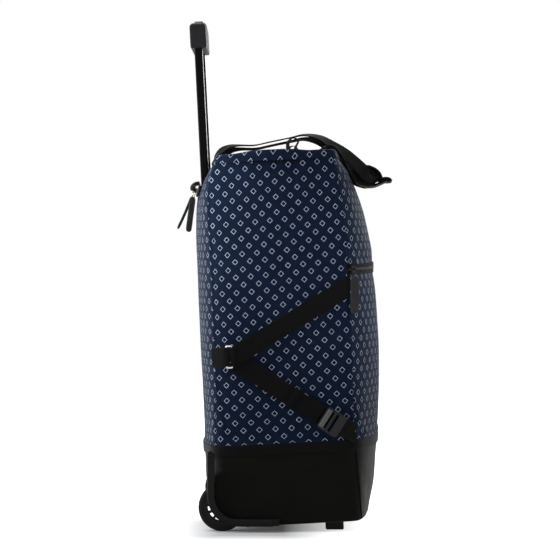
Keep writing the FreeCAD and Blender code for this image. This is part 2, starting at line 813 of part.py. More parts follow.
def grip_cover():
    cover = grip_shell().common(box((-99, -200, grip_split()), (99, 200, 999)))
    cover = cover.cut(grip_cavity())
    half_x = button_depth / 2 + 0.25
    half_y = button_length / 2 + 0.25
    slot = rounded_box((button_x() - half_x, -half_y, grip_split()),
                       (button_x() + half_x, half_y, 999), 3.0, Vector(0, 0, 1))
    return cover.cut(slot)


def push_button():
    """The release button with its retaining flange, stem and cross bar."""
    x = button_x()
    top = grip_crest + button_rise
    cap = rounded_box((x - button_depth / 2, -button_length / 2, grip_top - 11),
                      (x + button_depth / 2, button_length / 2, top), 2.75, Vector(0, 0, 1))
    cap = cap.makeFillet(1.6, [e for e in cap.Edges if e.BoundBox.ZMin > top - 0.1])
    back = -tube_setback - 4
    flange = box((back - 1, -button_length / 2 - 3, grip_top - 11.5),
                 (back + 13, button_length / 2 + 3, grip_top - 9.3))
    bar = box((back, -tube_y - 3, grip_bottom + 14), (back + 8, tube_y + 3, grip_bottom + 19))
    stem = box((back, -8, grip_bottom + 15), (back + 10, 8, grip_top - 10))
    return fuse([cap, flange, stem, bar])


def release_rods():
    rods = []
    for side in (1, -1):
        y = side * tube_y
        rods.append(rod(rod_radius, (-tube_setback, y, pin_z() + pin_radius + button_travel + 0.5),
                        (-tube_setback, y, grip_bottom + 14)))
    return Part.Compound(rods)


def button_spring():
    """The coil spring under the release bar."""
    radius = 4.0
    wire_radius = 0.5
    bottom = grip_bottom + 4 + wire_radius
    top = grip_bottom + 14 - wire_radius
    turns = 4
    helix = Part.makeHelix((top - bottom) / turns, top - bottom, radius)
    helix.translate(Vector(-tube_setback, 0, bottom))
    start = Vector(-tube_setback + radius, 0, bottom)
    section = Part.Wire(Part.makeCircle(wire_radius, start, Vector(0, 1, 0)))
    return Part.Wire(helix).makePipeShell([section], True, True)


# Zips

def zip_slider(pin_across):
    """A zip slider seated on Z = 0 and sliding along X, with a bored bridge for its pull's pin."""
    half_l = slider_length / 2
    half_w = slider_width / 2
    body = rounded_box((-half_l, -half_w, 0), (half_l, half_w, slider_rise - 1.6), 1.5, Vector(0, 0, 1))
    top = slider_rise + 1.6
    if pin_across:
        bridge = box((-2.6, -1.3, slider_rise - 2), (2.6, 1.3, top))
        hole = rod(link_radius + 0.2, (0, -9, slider_rise), (0, 9, slider_rise))
    else:
        bridge = box((-1.3, -2.6, slider_rise - 2), (1.3, 2.6, top))
        hole = rod(link_radius + 0.2, (-9, 0, slider_rise), (9, 0, slider_rise))
    return fuse([body, bridge]).cut(hole)


def zip_pull(length, turned, shift):
    """A pull with its pin along X at the origin, hanging down Z: a wire link and a webbing tab.

    turned sets the tab's face square to the pin, and shift carries the tab sideways along the pin.
    """
    knee = -5.0
    hook = -12.0
    parts = [rod(link_radius, (-2.9, 0, 0), (2.9, 0, 0))]
    for x in (-2.5, 2.5):
        parts.append(rod(link_radius, (x, 0, 0.6), (x, 0, knee)))
        parts.append(Part.makeSphere(link_radius, Vector(x, 0, knee)))
        parts.append(rod(link_radius, (x, 0, knee), (x * 0.4 + shift, 0, hook - 1)))
    half_x = pull_thickness / 2 if turned else pull_width / 2
    half_y = pull_width / 2 if turned else pull_thickness / 2
    flat = Vector(1, 0, 0) if turned else Vector(0, 1, 0)
    tab = rounded_box((shift - half_x, -half_y, -length), (shift + half_x, half_y, hook), 2.0, flat)
    return fuse(parts + [tab])


def place(shape, point, turns):
    """Turn a shape about the origin by (axis, degrees) steps, then move it."""
    placed = shape.copy()
    for axis, degrees in turns:
        placed.rotate(Vector(0, 0, 0), Vector(*axis), degrees)
    placed.translate(Vector(*point))
    return placed


def on_wall(facing, level, reach, offset):
    """A point on a bowed wall, offset outwards, and the wall's heading there in degrees from +X."""
    rear, front, half, rear_bow, front_bow = outline_at(level)
    seam = front if facing > 0 else rear
    bow = front_bow if facing > 0 else rear_bow
    radius = (half**2 + bow**2) / (2 * bow)
    centre = seam + facing * (bow - radius)
    turn = math.asin(reach / radius)
    r = radius + offset
    return (centre + facing * r * math.cos(turn), r * math.sin(turn), level), facing * math.degrees(turn)


def wall_lean(facing, level):
    """How far a bowed wall faces upwards at one level, in degrees."""
    low = on_wall(facing, level - 2, 0.0, 0.0)[0][0]
    high = on_wall(facing, level + 2, 0.0, 0.0)[0][0]
    return math.degrees(math.atan2(facing * (low - high), 4.0))


def off_wall(facing, level, reach, offset):
    """A point off a bowed wall along its own normal, with the wall's heading and lean."""
    point, heading = on_wall(facing, level, reach, 0.0)
    tilt = wall_lean(facing, level)
    along = offset * math.cos(math.radians(tilt))
    x = point[0] + facing * along * math.cos(math.radians(heading))
    y = point[1] + facing * along * math.sin(math.radians(heading))
    return (x, y, level + offset * math.sin(math.radians(tilt))), heading, tilt


def face_wall(facing, heading):
    """Degrees about Z that turn a shape facing -Y to face out of a bowed wall."""
    return heading + 90 * facing


def back_zip_level():
    return z_top - back_zip_drop


def back_zip_tape():
    """The rear zip across the handle's sleeve, under a moulded hood that shields its sliders."""
    level = back_zip_level()
    reach = tube_y + back_zip_overrun
    outward = -zip_tape - lay_gap
    tape_rows = [(level + lift, outward) for lift in (-7, -3.5, 0, 3.5, 7)]
    coil_rows = [(level + lift, outward - coil_depth) for lift in (-2, 0, 2)]
    return bowed_wall(-1, tape_rows, zip_tape, reach).fuse(bowed_wall(-1, coil_rows, coil_depth, reach))


def back_zip_hood():
    level = back_zip_level()
    x = on_wall(-1, level, 0.0, 0.0)[0][0]
    z = level + 15
    points = [
        (x + 9, z + 2), (x, z + 1), (x - 8.2, z - 2.6), (x - 11.2, z - 7), (x - 11.4, z - 15.6),
        (x - 8.9, z - 15.6), (x - 8.6, z - 7.6), (x - 6, z - 5), (x + 9, z - 2.6),
    ]
    hood = y_prism(points, -24, 24)
    return hood.cut(bag_solid(z_band + lay_gap, z_top - lay_gap, lay_gap))


def slider_on_wall(facing, level, reach, seat):
    """A slider on a zip that runs across a bowed wall."""
    point, heading, tilt = off_wall(facing, level, reach, seat)
    turns = [((1, 0, 0), 90 - tilt), ((0, 0, 1), face_wall(facing, heading))]
    return place(zip_slider(False), point, turns)


def pull_on_wall(facing, level, reach, seat, swing, turned, shift):
    """A pull hanging from a slider on a bowed wall, swung outwards from hanging straight."""
    point, heading, tilt = off_wall(facing, level, reach, seat + slider_rise)
    pull = zip_pull(pull_length, turned, shift)
    return place(pull, point, [((1, 0, 0), swing), ((0, 0, 1), face_wall(facing, heading))])


def zip_seat():
    """Height of a slider's seat above a bowed wall."""
    return lay_gap + zip_tape + coil_depth + lay_gap


def pocket_seat():
    return lay_gap + webbing + coil_depth + lay_gap


def main_zip_end():
    """Where the main zip's coil ends, short of the side walls."""
    rear, front, half, rear_bow, front_bow = outline_at(z_top)
    return half - cloth - 1 - slider_length - 2


def main_slider_y():
    """The parked slider overhangs the end of its coil."""
    return main_zip_end() + slider_length / 2 - slider_seat


def main_slider():
    """The main zip's slider, parked at the end of its coil."""
    point = (flap_split(), main_slider_y(), z_top + coil_rise + lay_gap)
    return place(zip_slider(True), point, [((0, 0, 1), 90)])


def main_pull():
    """The main zip's pull, lying along the closed zip."""
    point = (flap_split(), main_slider_y(), z_top + coil_rise + lay_gap + slider_rise)
    return place(zip_pull(pull_length - 10, False, 0.0), point, [((1, 0, 0), -90)])


# Straps

def side_face():
    return half_width + lay_gap


def strap_run(start, end, y_start, y_end, thickness):
    """A flat run of webbing between two (x, z) points on the +Y side, from one lift to another."""
    length = math.hypot(end[0] - start[0], end[1] - start[1])
    corners = [(0, y_start), (length, y_end), (length, y_end + thickness), (0, y_start + thickness)]
    outline = [Vector(x, y, -webbing_width / 2) for x, y in corners + corners[:1]]
    face = Part.Face(Part.makePolygon(outline))
    run = face.extrude(Vector(0, 0, webbing_width))
    angle = math.degrees(math.atan2(end[1] - start[1], end[0] - start[0]))
    return place(run, (start[0], 0, start[1]), [((0, 1, 0), -angle)])


def past_seam():
    """Everything ahead of the line where the straps are sewn into the front seam."""
    return box((x_front - 1, 0, z_bottom), (x_front + 99, half_width * 2, z_top))


def ring_centre():
    return x_rear + ring_ahead, z_bottom + ring_level


def ring_lift():
    """The ring's bars above the middle of the bag."""
    return side_face() + webbing + ring_bar / 2 + 0.2


def bar_loop(x, z_low, z_high, tail):
    """Webbing folded round an upright bar of the ring, closed on its tail at another x."""
    y = ring_lift()
    inner = ring_bar / 2 + 0.2
    outer = inner + webbing
    floor = side_face()
    loop = rod(outer, (x, y, z_low), (x, y, z_high))
    side = [(x, y - outer), (tail, floor), (tail, floor + webbing), (x, y + outer)]
    wedge = z_prism(side, z_low, z_high)
    return loop.fuse(wedge).cut(rod(inner, (x, y, z_low - 1), (x, y, z_high + 1)))


def strap_ring():
    """The metal ring between the rear tab and the two runs of the side strap."""
    x, z = ring_centre()
    y = ring_lift()
    half_w = ring_width / 2
    half_h = ring_height / 2
    half_b = ring_bar / 2
    outer = rounded_box((x - half_w, y - half_b, z - half_h), (x + half_w, y + half_b, z + half_h),
                        3.5, Vector(0, 1, 0))
    inner = rounded_box((x - half_w + ring_bar, y - 9, z - half_h + ring_bar),
                        (x + half_w - ring_bar, y + 9, z + half_h - ring_bar), 0.4, Vector(0, 1, 0))
    ring = outer.cut(inner)
    faces = [e for e in ring.Edges if abs(abs(e.CenterOfMass.y - y) - half_b) < 0.01]
    return ring.makeFillet(ring_bar * 0.4, faces)


def buckle_place():
    """Centre (x, z) of the buckle and the slope of the strap through it in degrees."""
    x, z = ring_centre()
    centre = (x_front - buckle_behind, z - buckle_drop)
    return centre, math.degrees(math.atan2(centre[1] - z, centre[0] - x))


def side_strap():
    """One strap: sewn to the front seam, back through the ring, down to the buckle and its folded tail."""
    x, z = ring_centre()
    bar = x + ring_width / 2 - ring_bar / 2
    floor = side_face()
    start = bar + 3.0
    end = (x_front + 10, z + strap_rise)
    upper = strap_run((start, z), end, floor + 2 * webbing + 2.2, floor, webbing)
    upper = upper.cut(past_seam())
    centre, angle = buckle_place()
    lower = strap_run((start, z - strap_step), centre, floor, floor, webbing)
    tail_start = (x + 0.60 * (centre[0] - x), z + 0.60 * (centre[1] - z))
    tail_end = (x + 0.885 * (centre[0] - x), z + 0.885 * (centre[1] - z))
    tail = strap_run(tail_start, tail_end, floor + webbing, floor + webbing, webbing)
    hem_end = (x + 0.655 * (centre[0] - x), z + 0.655 * (centre[1] - z))
    hem = strap_run(tail_start, hem_end, floor + 2 * webbing, floor + 2 * webbing, webbing)
    fold = bar_loop(bar, z - webbing_width / 2, z + webbing_width / 2, bar + 12)
    return fuse([fold, upper, lower, tail, hem])


def strap_buckle():
    """A ladder buckle: two windows, a ribbed thumb bar and a rounded tongue."""
    centre, angle = buckle_place()
    length = buckle_length
    width = buckle_width
    low = side_face() + webbing + lay_gap
    high = low + buckle_height
    body = rounded_box((-length / 2, low, -width / 2), (length / 2, high, width / 2), 5.0, Vector(0, 1, 0))
    for x in (-9.0, 0.0):
        window = box((x, low - 1, -webbing_width / 2 - 0.5), (x + 4.5, high + 9, webbing_width / 2 + 0.5))
        body = body.cut(window)
    ribs = []
    for k in range(4):
        x = -length / 2 + 1.6 + 2.1 * k
        ribs.append(box((x, high - 0.5, -width / 2 + 3), (x + 1.0, high + 0.8, width / 2 - 3)))
    body = fuse([body] + ribs)
    return place(body, (centre[0], 0, centre[1]), [((0, 1, 0), -angle)])


def strap_tabs():
    """The sewn tabs on both sides: the rear ones hold the rings, the front ones the buckles."""
    x, z = ring_centre()
    bar = x - ring_width / 2 + ring_bar / 2
    centre, angle = buckle_place()
    turn = math.radians(angle)
    begin = (centre[0] + 6 * math.cos(turn), centre[1] + 6 * math.sin(turn))
    rear = bar_loop(bar, z - webbing_width / 2, z + webbing_width / 2, x_rear + 3)
    end = (x_front + 10, centre[1] - tab_drop)
    front = strap_run(begin, end, side_face(), side_face(), webbing).cut(past_seam())
    shapes = []
    for side in SIDES.values():
        shapes += [on_side(rear, side), on_side(front, side)]
    return Part.Compound(shapes)


def ribbon(points, thickness, y_low, y_high):
    """A ribbon whose edge follows a smooth curve through (x, z) points, as wide as its Y span."""
    rows = {1: [], -1: []}
    for i, (x, z) in enumerate(points):
        before = points[max(i - 1, 0)]
        after = points[min(i + 1, len(points) - 1)]
        run = math.hypot(after[0] - before[0], after[1] - before[1])
        nx = -(after[1] - before[1]) / run
        nz = (after[0] - before[0]) / run
        for face in rows:
            rows[face].append(Vector(x + face * nx * thickness / 2, y_low, z + face * nz * thickness / 2))
    curves = []
    for face in rows:
        curve = Part.BSplineCurve()
        curve.interpolate(rows[face])
        curves.append(curve.toShape())
    wire = Part.Wire([
        curves[0],
        Part.makeLine(rows[1][-1], rows[-1][-1]),
        curves[1],
        Part.makeLine(rows[-1][0], rows[1][0]),
    ])
    return Part.Face(wire).extrude(Vector(0, y_high - y_low, 0))


def wrap_centre():
    """Middle of the roll that joins the two carry straps, flopped over the front edge."""
    return x_front + wrap_ahead, z_top - wrap_drop


def strap_core(lift):
    """The part of a carry strap gathered inside the wrap."""
    x, z = wrap_centre()
    reach = (leg_spacing + leg_width) / 2
    low, high = sorted((lift * lay_gap, lift * core_rise))
    bar = rounded_box((-core_width / 2, -reach, low), (core_width / 2, reach, high), 2.0, Vector(0, 1, 0))
    return place(bar, (x, 0, z), [((0, 1, 0), -wrap_tilt)])


def carry_strap(points, lift):
    """A carry strap: two legs from the bag's top edge to the bundle under the wrap."""
    legs = []
    for side in (1, -1):
        low, high = sorted((side * (leg_spacing - leg_width) / 2, side * (leg_spacing + leg_width) / 2))
        legs.append(ribbon(points, strap_thickness, low, high))
    return fuse(legs + [strap_core(lift)])


def carry_strap_back():
    """The rear strap. It springs from the rear top edge, arches over the top and falls to the wrap."""
    gap = lay_gap + strap_thickness / 2
    roots = []
    for drop in (14, 7):
        point, heading = on_wall(-1, z_top - drop, (leg_spacing - leg_width) / 2, gap)
        roots.append((point[0], z_top - drop))
    arch = [
        (0.101, 0.12), (0.143, 0.38), (0.203, 0.58), (0.275, 0.66), (0.383, 0.63), (0.495, 0.76),
        (0.640, 0.93), (0.748, 1.00), (0.856, 0.79), (0.928, 0.44), (1.036, -0.16), (1.135, -1.01),
        (1.176, -1.45),
    ]
    points = roots + [(x_rear + share * bag_depth, z_top + rise * strap_arch) for share, rise in arch]
    return carry_strap(points, 1)


def carry_strap_front():
    """The front strap. It springs from the front top edge and falls to the wrap under the rear one."""
    point, heading = on_wall(1, z_top - 5, (leg_spacing - leg_width) / 2, lay_gap)
    root = point[0]
    fall = [(0.23, 0.34), (0.50, 0.67), (0.77, 1.06)]
    points = [(root, z_top - 2.5), (root + 7, z_top - 6.0)]
    points += [(x_front + share * wrap_ahead, z_top - drop * wrap_drop) for share, drop in fall]
    return carry_strap(points, -1)


def grip_wrap():
    """The soft roll round both straps, with its closing flap."""
    x, z = wrap_centre()
    reach = wrap_length / 2
    shells = []
    for inset in (0, wrap_wall):
        oval = Part.Ellipse(Vector(0, -reach, 0), wrap_depth / 2 - inset, wrap_height / 2 - inset)
        edge = oval.toShape()
        edge.rotate(Vector(0, -reach, 0), Vector(1, 0, 0), 90)
        shells.append(Part.Face(Part.Wire(edge)).extrude(Vector(0, 2 * reach, 0)))
    tip = wrap_depth / 2 + 14.5
    flap = rounded_box((wrap_depth / 2 - 7, -reach, -3), (tip, reach, 1), 1.8, Vector(0, 1, 0))
    flap.rotate(Vector(0, 0, 0), Vector(0, 1, 0), wrap_tilt + 8)
    flap.translate(Vector(0, 0, 3))
    roll = shells[0].fuse(flap).cut(shells[1])
    return place(roll.removeSplitter(), (x, 0, z), [((0, 1, 0), -wrap_tilt)])


def side_loops():
    """The small standing loops sewn to the top edge of each side wall."""
    rear, front, half, rear_bow, front_bow = outline_at(z_top - 12)
    x = flap_split()
    points = [
        (x + 20, z_top - 10), (x + 20, z_top + 5), (x + 21.5, z_top + 15), (x + 29, z_top + 20.5),
        (x + 37, z_top + 16), (x + 33, z_top + 7), (x + 29, z_top - 1), (x + 28, z_top - 10),
    ]
    low = half + lay_gap
    loop = ribbon(points, webbing, low, low + 10)
    return Part.Compound([on_side(loop, side) for side in SIDES.values()])


def main():
    os.makedirs("parts", exist_ok=True)
    nodes = {}
    for name, side in SIDES.items():
        centre = Vector(0, wheel_y, 0)
        for node, shape in (("tyre", tyre()), ("wheel_rim", wheel_rim()), ("wheel_bush", wheel_bush())):
            shape.translate(centre)
            nodes[node + "_" + name] = upright(on_side(shape, side))
        nodes["wheel_axle_" + name] = lean(on_side(wheel_axle(), side))
        nodes["wheel_housing_" + name] = lean(on_side(wheel_housing(), side))
        nodes["corner_guard_" + name] = upright(on_side(corner_guard(), side))
        nodes["front_foot_" + name] = front_foot(side)
        nodes["outer_tube_" + name] = lean(outer_tube(side))
        nodes["inner_tube_" + name] = lean(inner_tube(side))
        nodes["tube_plug_" + name] = lean(tube_plug(side))
        nodes["lock_pin_" + name] = lean(lock_pin(side))
        nodes["side_panel_" + name] = lean(on_side(side_wall(z_band + seam_gap, z_top - seam_gap), side))
        nodes["side_strap_" + name] = lean(on_side(side_strap(), side))
        nodes["strap_ring_" + name] = lean(on_side(strap_ring(), side))
        nodes["strap_buckle_" + name] = lean(on_side(strap_buckle(), side))
    nodes["strap_tabs"] = lean(strap_tabs())
    nodes["base_board"] = lean(base_board())
    nodes["foot_screws"] = lean(foot_screws())
    nodes["base_cloth"] = lean(base_cloth())
    nodes["front_panel"] = lean(front_panel())
    nodes["pocket_panel"] = lean(pocket_panel())
    nodes["back_panel"] = lean(back_panel())
    nodes["top_flap_front"] = lean(top_flap(1))
    nodes["top_flap_back"] = lean(top_flap(-1))
    nodes["pocket_zip_tape"] = lean(pocket_zip_tape())
    nodes["back_zip_tape"] = lean(Part.Compound([back_zip_tape(), back_zip_hood()]))
    nodes["main_zip_slider"] = lean(main_slider())
    nodes["main_zip_pull"] = lean(main_pull())
    nodes["pocket_zip_slider"] = lean(slider_on_wall(1, z_zip, -half_width + 6, pocket_seat()))
    nodes["pocket_zip_pull"] = lean(pull_on_wall(1, z_zip, -half_width + 6, pocket_seat(), 0, True, -8.5))
    level = back_zip_level()
    for name, reach, swing, turned in (("left", 9.0, -26.2, False), ("right", -9.0, -10.5, True)):
        nodes["back_zip_slider_" + name] = lean(slider_on_wall(-1, level, reach, zip_seat()))
        pull = pull_on_wall(-1, level, reach, zip_seat(), swing, turned, 0.0)
        nodes["back_zip_pull_" + name] = lean(pull)
    nodes["tube_foot_bracket"] = lean(tube_foot_bracket())
    nodes["tube_guide"] = lean(tube_guide())
    nodes["grip_body"] = lean(grip_body())
    nodes["grip_cover"] = lean(grip_cover())
    nodes["push_button"] = lean(push_button())
    nodes["release_rods"] = lean(release_rods())
    nodes["button_spring"] = lean(button_spring())
    nodes["carry_strap_back"] = lean(carry_strap_back())
    nodes["carry_strap_front"] = lean(carry_strap_front())
    nodes["grip_wrap"] = lean(grip_wrap())
    nodes["side_loops"] = lean(side_loops())
    for node, shape in nodes.items():
        shape.exportStep("parts/" + node + ".step")
    print(len(nodes), "nodes")


main()
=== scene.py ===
import json
import math

import bmesh
import bpy
import numpy as np
from mathutils import Matrix, Vector, noise
from mathutils.bvhtree import BVHTree


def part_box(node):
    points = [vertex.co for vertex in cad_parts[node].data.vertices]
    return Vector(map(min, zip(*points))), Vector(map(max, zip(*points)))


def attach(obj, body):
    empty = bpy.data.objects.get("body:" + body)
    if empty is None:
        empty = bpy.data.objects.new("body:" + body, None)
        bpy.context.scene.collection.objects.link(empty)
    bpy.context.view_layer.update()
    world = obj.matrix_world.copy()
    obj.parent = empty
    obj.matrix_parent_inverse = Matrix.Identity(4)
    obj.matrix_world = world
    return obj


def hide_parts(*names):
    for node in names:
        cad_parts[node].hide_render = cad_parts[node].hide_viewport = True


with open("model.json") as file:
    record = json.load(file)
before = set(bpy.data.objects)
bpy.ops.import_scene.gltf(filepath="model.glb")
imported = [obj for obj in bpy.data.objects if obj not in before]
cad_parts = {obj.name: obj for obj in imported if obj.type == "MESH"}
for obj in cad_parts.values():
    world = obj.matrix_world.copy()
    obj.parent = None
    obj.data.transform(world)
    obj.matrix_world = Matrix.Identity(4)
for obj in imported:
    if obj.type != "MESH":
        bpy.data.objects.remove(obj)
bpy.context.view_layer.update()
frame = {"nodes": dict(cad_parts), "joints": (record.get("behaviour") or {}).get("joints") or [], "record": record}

MM = 0.001

# The bag leans back on its wheels. Soft pieces are shaped in the bag's own frame: X along the
# base, Y across, Z up the bag, counted from the middle of the axle, and then set in place.
JOINTS = {joint["name"]: joint for joint in frame["joints"]}
UP = Vector(JOINTS["handle_slide"]["axis"])
ALONG = Vector((UP.z, 0, -UP.x))
AXLE = Vector(JOINTS["wheel_left_spin"]["pos_m"]) * Vector((1, 0, 1))
TO_PLACE = Matrix.Translation(AXLE) @ Matrix((ALONG, (0, 1, 0), UP)).transposed().to_4x4()
TO_BAG = TO_PLACE.inverted()
SIDES = {"left": 1, "right": -1}

# Sizes of the soft goods
# How softly the walls turn at the rear and front corners, by level
REAR_CORNERS = ((0.12, 0.2, 0.4, 0.50, 0.555), (20 * MM, 24 * MM, 24 * MM, 16 * MM, 9 * MM))
FRONT_CORNERS = ((0.09, 0.15, 0.34, 0.39, 0.46, 0.555),
                 (15 * MM, 11 * MM, 5 * MM, 5 * MM, 10 * MM, 9 * MM))
REAR_SEAM_TURN = math.radians(50)    # how far the cloth has turned at the corner seams
FRONT_SEAM_TURN = math.radians(40)
CLOTH = 1.2 * MM
WEBBING = 1.7 * MM
WEBBING_WIDTH = 30 * MM
PRINT_PITCH = 17.2 * MM    # between neighbouring squares of the print
PRINT_SIZE = 6.5 * MM      # side of a printed square
PRINT_LINE = 0.5 * MM
SIDE_BOW = (0.078, 0.022)  # how far the side walls round off towards the rear and front, of their width
MIDWAY = 0.1               # a place between the rear and front walls, at every level
SETTLE_FRAMES = 20         # frames of cloth simulation
SETTLE_GRAVITY = 0.5       # share of real gravity while the cloth settles
EXTRA_CLOTH = 0.012        # share by which a panel is cut too large, so that it hangs slack
PANEL_STEP = 4 * MM        # size of the faces of a wall
BAND_STEP = 3 * MM         # length of the faces along a band
BAND_ROWS = 16             # faces across a band
COIL_RADIUS = 0.9 * MM
COIL_PITCH = 1.35 * MM
HEM_THICKNESS = 0.8 * MM
MERGE = 0.02 * MM          # vertices closer than this are one
LEG_WIDTH = 28 * MM        # carry straps
LEG_THICKNESS = 2.2 * MM
LEG_Y = -75 * MM
FLAP_ROOM = 6.6 * MM       # top flaps to the side walls, for the hem between them


def bag_box(node):
    """Lowest and highest corner of a CAD node in the bag's own frame."""
    points = np.array([TO_BAG @ v.co for v in frame["nodes"][node].data.vertices])
    return Vector(points.min(0)), Vector(points.max(0))


def caster(*nodes):
    """The faces of some CAD nodes in the bag's own frame, to cast rays at."""
    points, faces = [], []
    for node in nodes:
        mesh = frame["nodes"][node].data
        base = len(points)
        points += [TO_BAG @ v.co for v in mesh.vertices]
        faces += [[base + i for i in face.vertices] for face in mesh.polygons]
    return BVHTree.FromPolygons(points, faces)


BAND_TOP = bag_box("side_panel_left")[0].z
TOP = bag_box("side_panel_left")[1].z
BOTTOM = bag_box("base_board")[0].z - 2.3 * MM
ZIP_LOW, ZIP_HIGH = bag_box("pocket_zip_tape")[0].z, bag_box("pocket_zip_tape")[1].z


# The bag's walls -----------------------------------------------------------------------------

REAR_FACES = caster("base_cloth", "back_panel")
FRONT_FACES = caster("base_cloth", "pocket_panel", "front_panel")
SIDE_FACES = caster("base_cloth", "side_panel_left")


def bow(faces, facing, level):
    """Middle and radius of a bowed wall's arc at one level, or None at a gap in it."""
    reach = 0.12
    hits = []
    for y in (0, reach):
        hits.append(faces.ray_cast(Vector((facing, y, level)), Vector((-facing, 0, 0)))[0])
    if None in hits:
        return None
    sag = max(facing * (hits[0].x - hits[1].x), 0.2 * MM)
    radius = (reach**2 + sag**2) / (2 * sag)
    return hits[0].x - facing * radius, radius


def wall_table():
    """Rear arc, front arc and half width at levels up the bag."""
    rows = []
    for level in np.arange(BOTTOM + 78 * MM, TOP - 1 * MM, 6 * MM):
        rear = bow(REAR_FACES, -1, level)
        front = bow(FRONT_FACES, 1, level)
        side = SIDE_FACES.ray_cast(Vector((MIDWAY, 1, level)), Vector((0, -1, 0)))[0]
        if rear and front and side:
            rows.append((level, *rear, *front, side.y))
    return np.array(rows)


WALLS = wall_table()
LOW_FRONT = [(level, bow(FRONT_FACES, 1, level))
             for level in np.arange(BOTTOM + 4 * MM, BOTTOM + 78 * MM, 6 * MM)]
RING_STEP = 2 * MM
rings = {}


def arcs_at(level):
    """Rear middle, rear radius, front middle, front radius and half width at a level."""
    values = [float(np.interp(level, WALLS[:, 0], WALLS[:, k])) for k in range(1, 6)]
    if level < WALLS[0, 0]:
        table = np.array([(row, *arc) for row, arc in LOW_FRONT if arc] + [tuple(WALLS[0, [0, 3, 4]])])
        values[2] = float(np.interp(level, table[:, 0], table[:, 1]))
        values[3] = float(np.interp(level, table[:, 0], table[:, 2]))
    return values


class Ring:
    """Half of the bag's outline at one level, from the rear middle round the +Y side to the front."""

    def __init__(self, level):
        rear_middle, rear_radius, front_middle, front_radius, half = arcs_at(level)
        rear_turn = math.asin(half / rear_radius)
        front_turn = math.asin(half / front_radius)
        rear = [(rear_middle - rear_radius * math.cos(a), rear_radius * math.sin(a))
                for a in np.linspace(-rear_turn, rear_turn, 120)]
        front = [(front_middle + front_radius * math.cos(a), front_radius * math.sin(a))
                 for a in np.linspace(front_turn, -front_turn, 120)]
        outline = np.array(rear + front + rear[:1])
        steps = np.hypot(*np.diff(outline, axis=0).T)
        length = np.concatenate([[0], np.cumsum(steps)])
        count = int(length[-1] / RING_STEP)
        at = np.linspace(0, length[-1], count, endpoint=False)
        even = np.column_stack([np.interp(at, length, outline[:, k]) for k in (0, 1)])
        spread = np.minimum(np.arange(count), count - np.arange(count)) * RING_STEP
        softened = []
        for corners in (REAR_CORNERS, FRONT_CORNERS):
            kernel = np.exp(-0.5 * (spread / np.interp(level, *corners))**2)
            kernel /= kernel.sum()
            softened.append(np.fft.ifft(np.fft.fft(even, axis=0) * np.fft.fft(kernel)[:, None], axis=0).real)
        ahead = np.clip((softened[1][:, :1] - 70 * MM) / (60 * MM), 0, 1)
        soft = softened[0] + (softened[1] - softened[0]) * ahead
        full = min(1.0, max(0.0, (level - BAND_TOP) / (90 * MM)))
        rearward = soft[:, 0] < MIDWAY
        bowed = np.where(rearward, *SIDE_BOW) * np.interp(level, (0.22, 0.35, 0.5), (0.75, 1.0, 1.5))
        reach = np.where(rearward, MIDWAY - soft[:, 0].min(), soft[:, 0].max() - MIDWAY)
        soft[:, 1] *= 1 - bowed * full * ((soft[:, 0] - MIDWAY) / reach)**2
        start = int(np.argmin(np.where(rearward, abs(soft[:, 1]), 9)))
        soft = np.roll(soft, -start, axis=0)
        end = int(np.argmin(np.where(soft[:, 0] > MIDWAY, abs(soft[:, 1]), 9)))
        self.points = soft[:end + 1]
        if self.points[len(self.points) // 2, 1] < 0:
            self.points = np.roll(soft[::-1], 1, axis=0)[:count - end + 1]
        self.points[0, 1] = self.points[-1, 1] = 0
        steps = np.hypot(*np.diff(self.points, axis=0).T)
        self.length = np.concatenate([[0], np.cumsum(steps)])
        run = np.gradient(self.points, axis=0)
        run /= np.linalg.norm(run, axis=1)[:, None]
        self.normals = np.column_stack([-run[:, 1], run[:, 0]])
        self.rear_seam = float(np.interp(-math.sin(REAR_SEAM_TURN), self.normals[:, 0], self.length))
        self.front_seam = float(np.interp(math.sin(FRONT_SEAM_TURN), self.normals[:, 0], self.length))
        self.end = float(self.length[-1])

    def at(self, distance):
        """Point and outward normal at a distance round from the rear middle."""
        x, y = (float(np.interp(distance, self.length, self.points[:, k])) for k in (0, 1))
        nx, ny = (float(np.interp(distance, self.length, self.normals[:, k])) for k in (0, 1))
        return Vector((x, y, 0)), Vector((nx, ny, 0)).normalized()


def ring_at(level):
    key = round(level, 5)
    if key not in rings:
        rings[key] = Ring(level)
    return rings[key]


def side_y(along, level):
    """How far out the side wall lies at a place on it."""
    ring = ring_at(level)
    low = int(np.searchsorted(ring.length, ring.rear_seam)) - 2
    high = int(np.searchsorted(ring.length, ring.front_seam)) + 2
    return float(np.interp(along, ring.points[low:high, 0], ring.points[low:high, 1]))


# Making pieces -------------------------------------------------------------------------------

def finished(bm, name, in_bag=True, smooth=True):
    """An object from a bmesh. A mesh shaped in the bag's frame is set in place."""
    mesh = bpy.data.meshes.new(name)
    bm.to_mesh(mesh)
    bm.free()
    if in_bag:
        mesh.transform(TO_PLACE)
    for face in mesh.polygons:
        face.use_smooth = smooth
    piece = bpy.data.objects.new(name, mesh)
    bpy.context.scene.collection.objects.link(piece)
    return piece


def sheet_mesh(across, down, shape, flat):
    """A grid laid on a surface. shape and flat give a point and its place on the cut cloth."""
    bm = bmesh.new()
    bmesh.ops.create_grid(bm, x_segments=across, y_segments=down, size=0.5)
    uv = bm.loops.layers.uv.new("cloth")
    share = {v: (v.co.x + 0.5, v.co.y + 0.5) for v in bm.verts}
    for v in bm.verts:
        v.co = shape(*share[v])
    for face in bm.faces:
        for loop in face.loops:
            loop[uv].uv = flat(*share[loop.vert])
    return bm


def thicken(piece, thickness, offset=-1.0, lining=None):
    """Give a sheet its thickness inwards (-1), both ways (0) or outwards (1)."""
    solid = piece.modifiers.new("thickness", "SOLIDIFY")
    solid.thickness = thickness
    solid.offset = offset
    solid.use_even_offset = False
    if lining is not None:
        solid.material_offset = lining


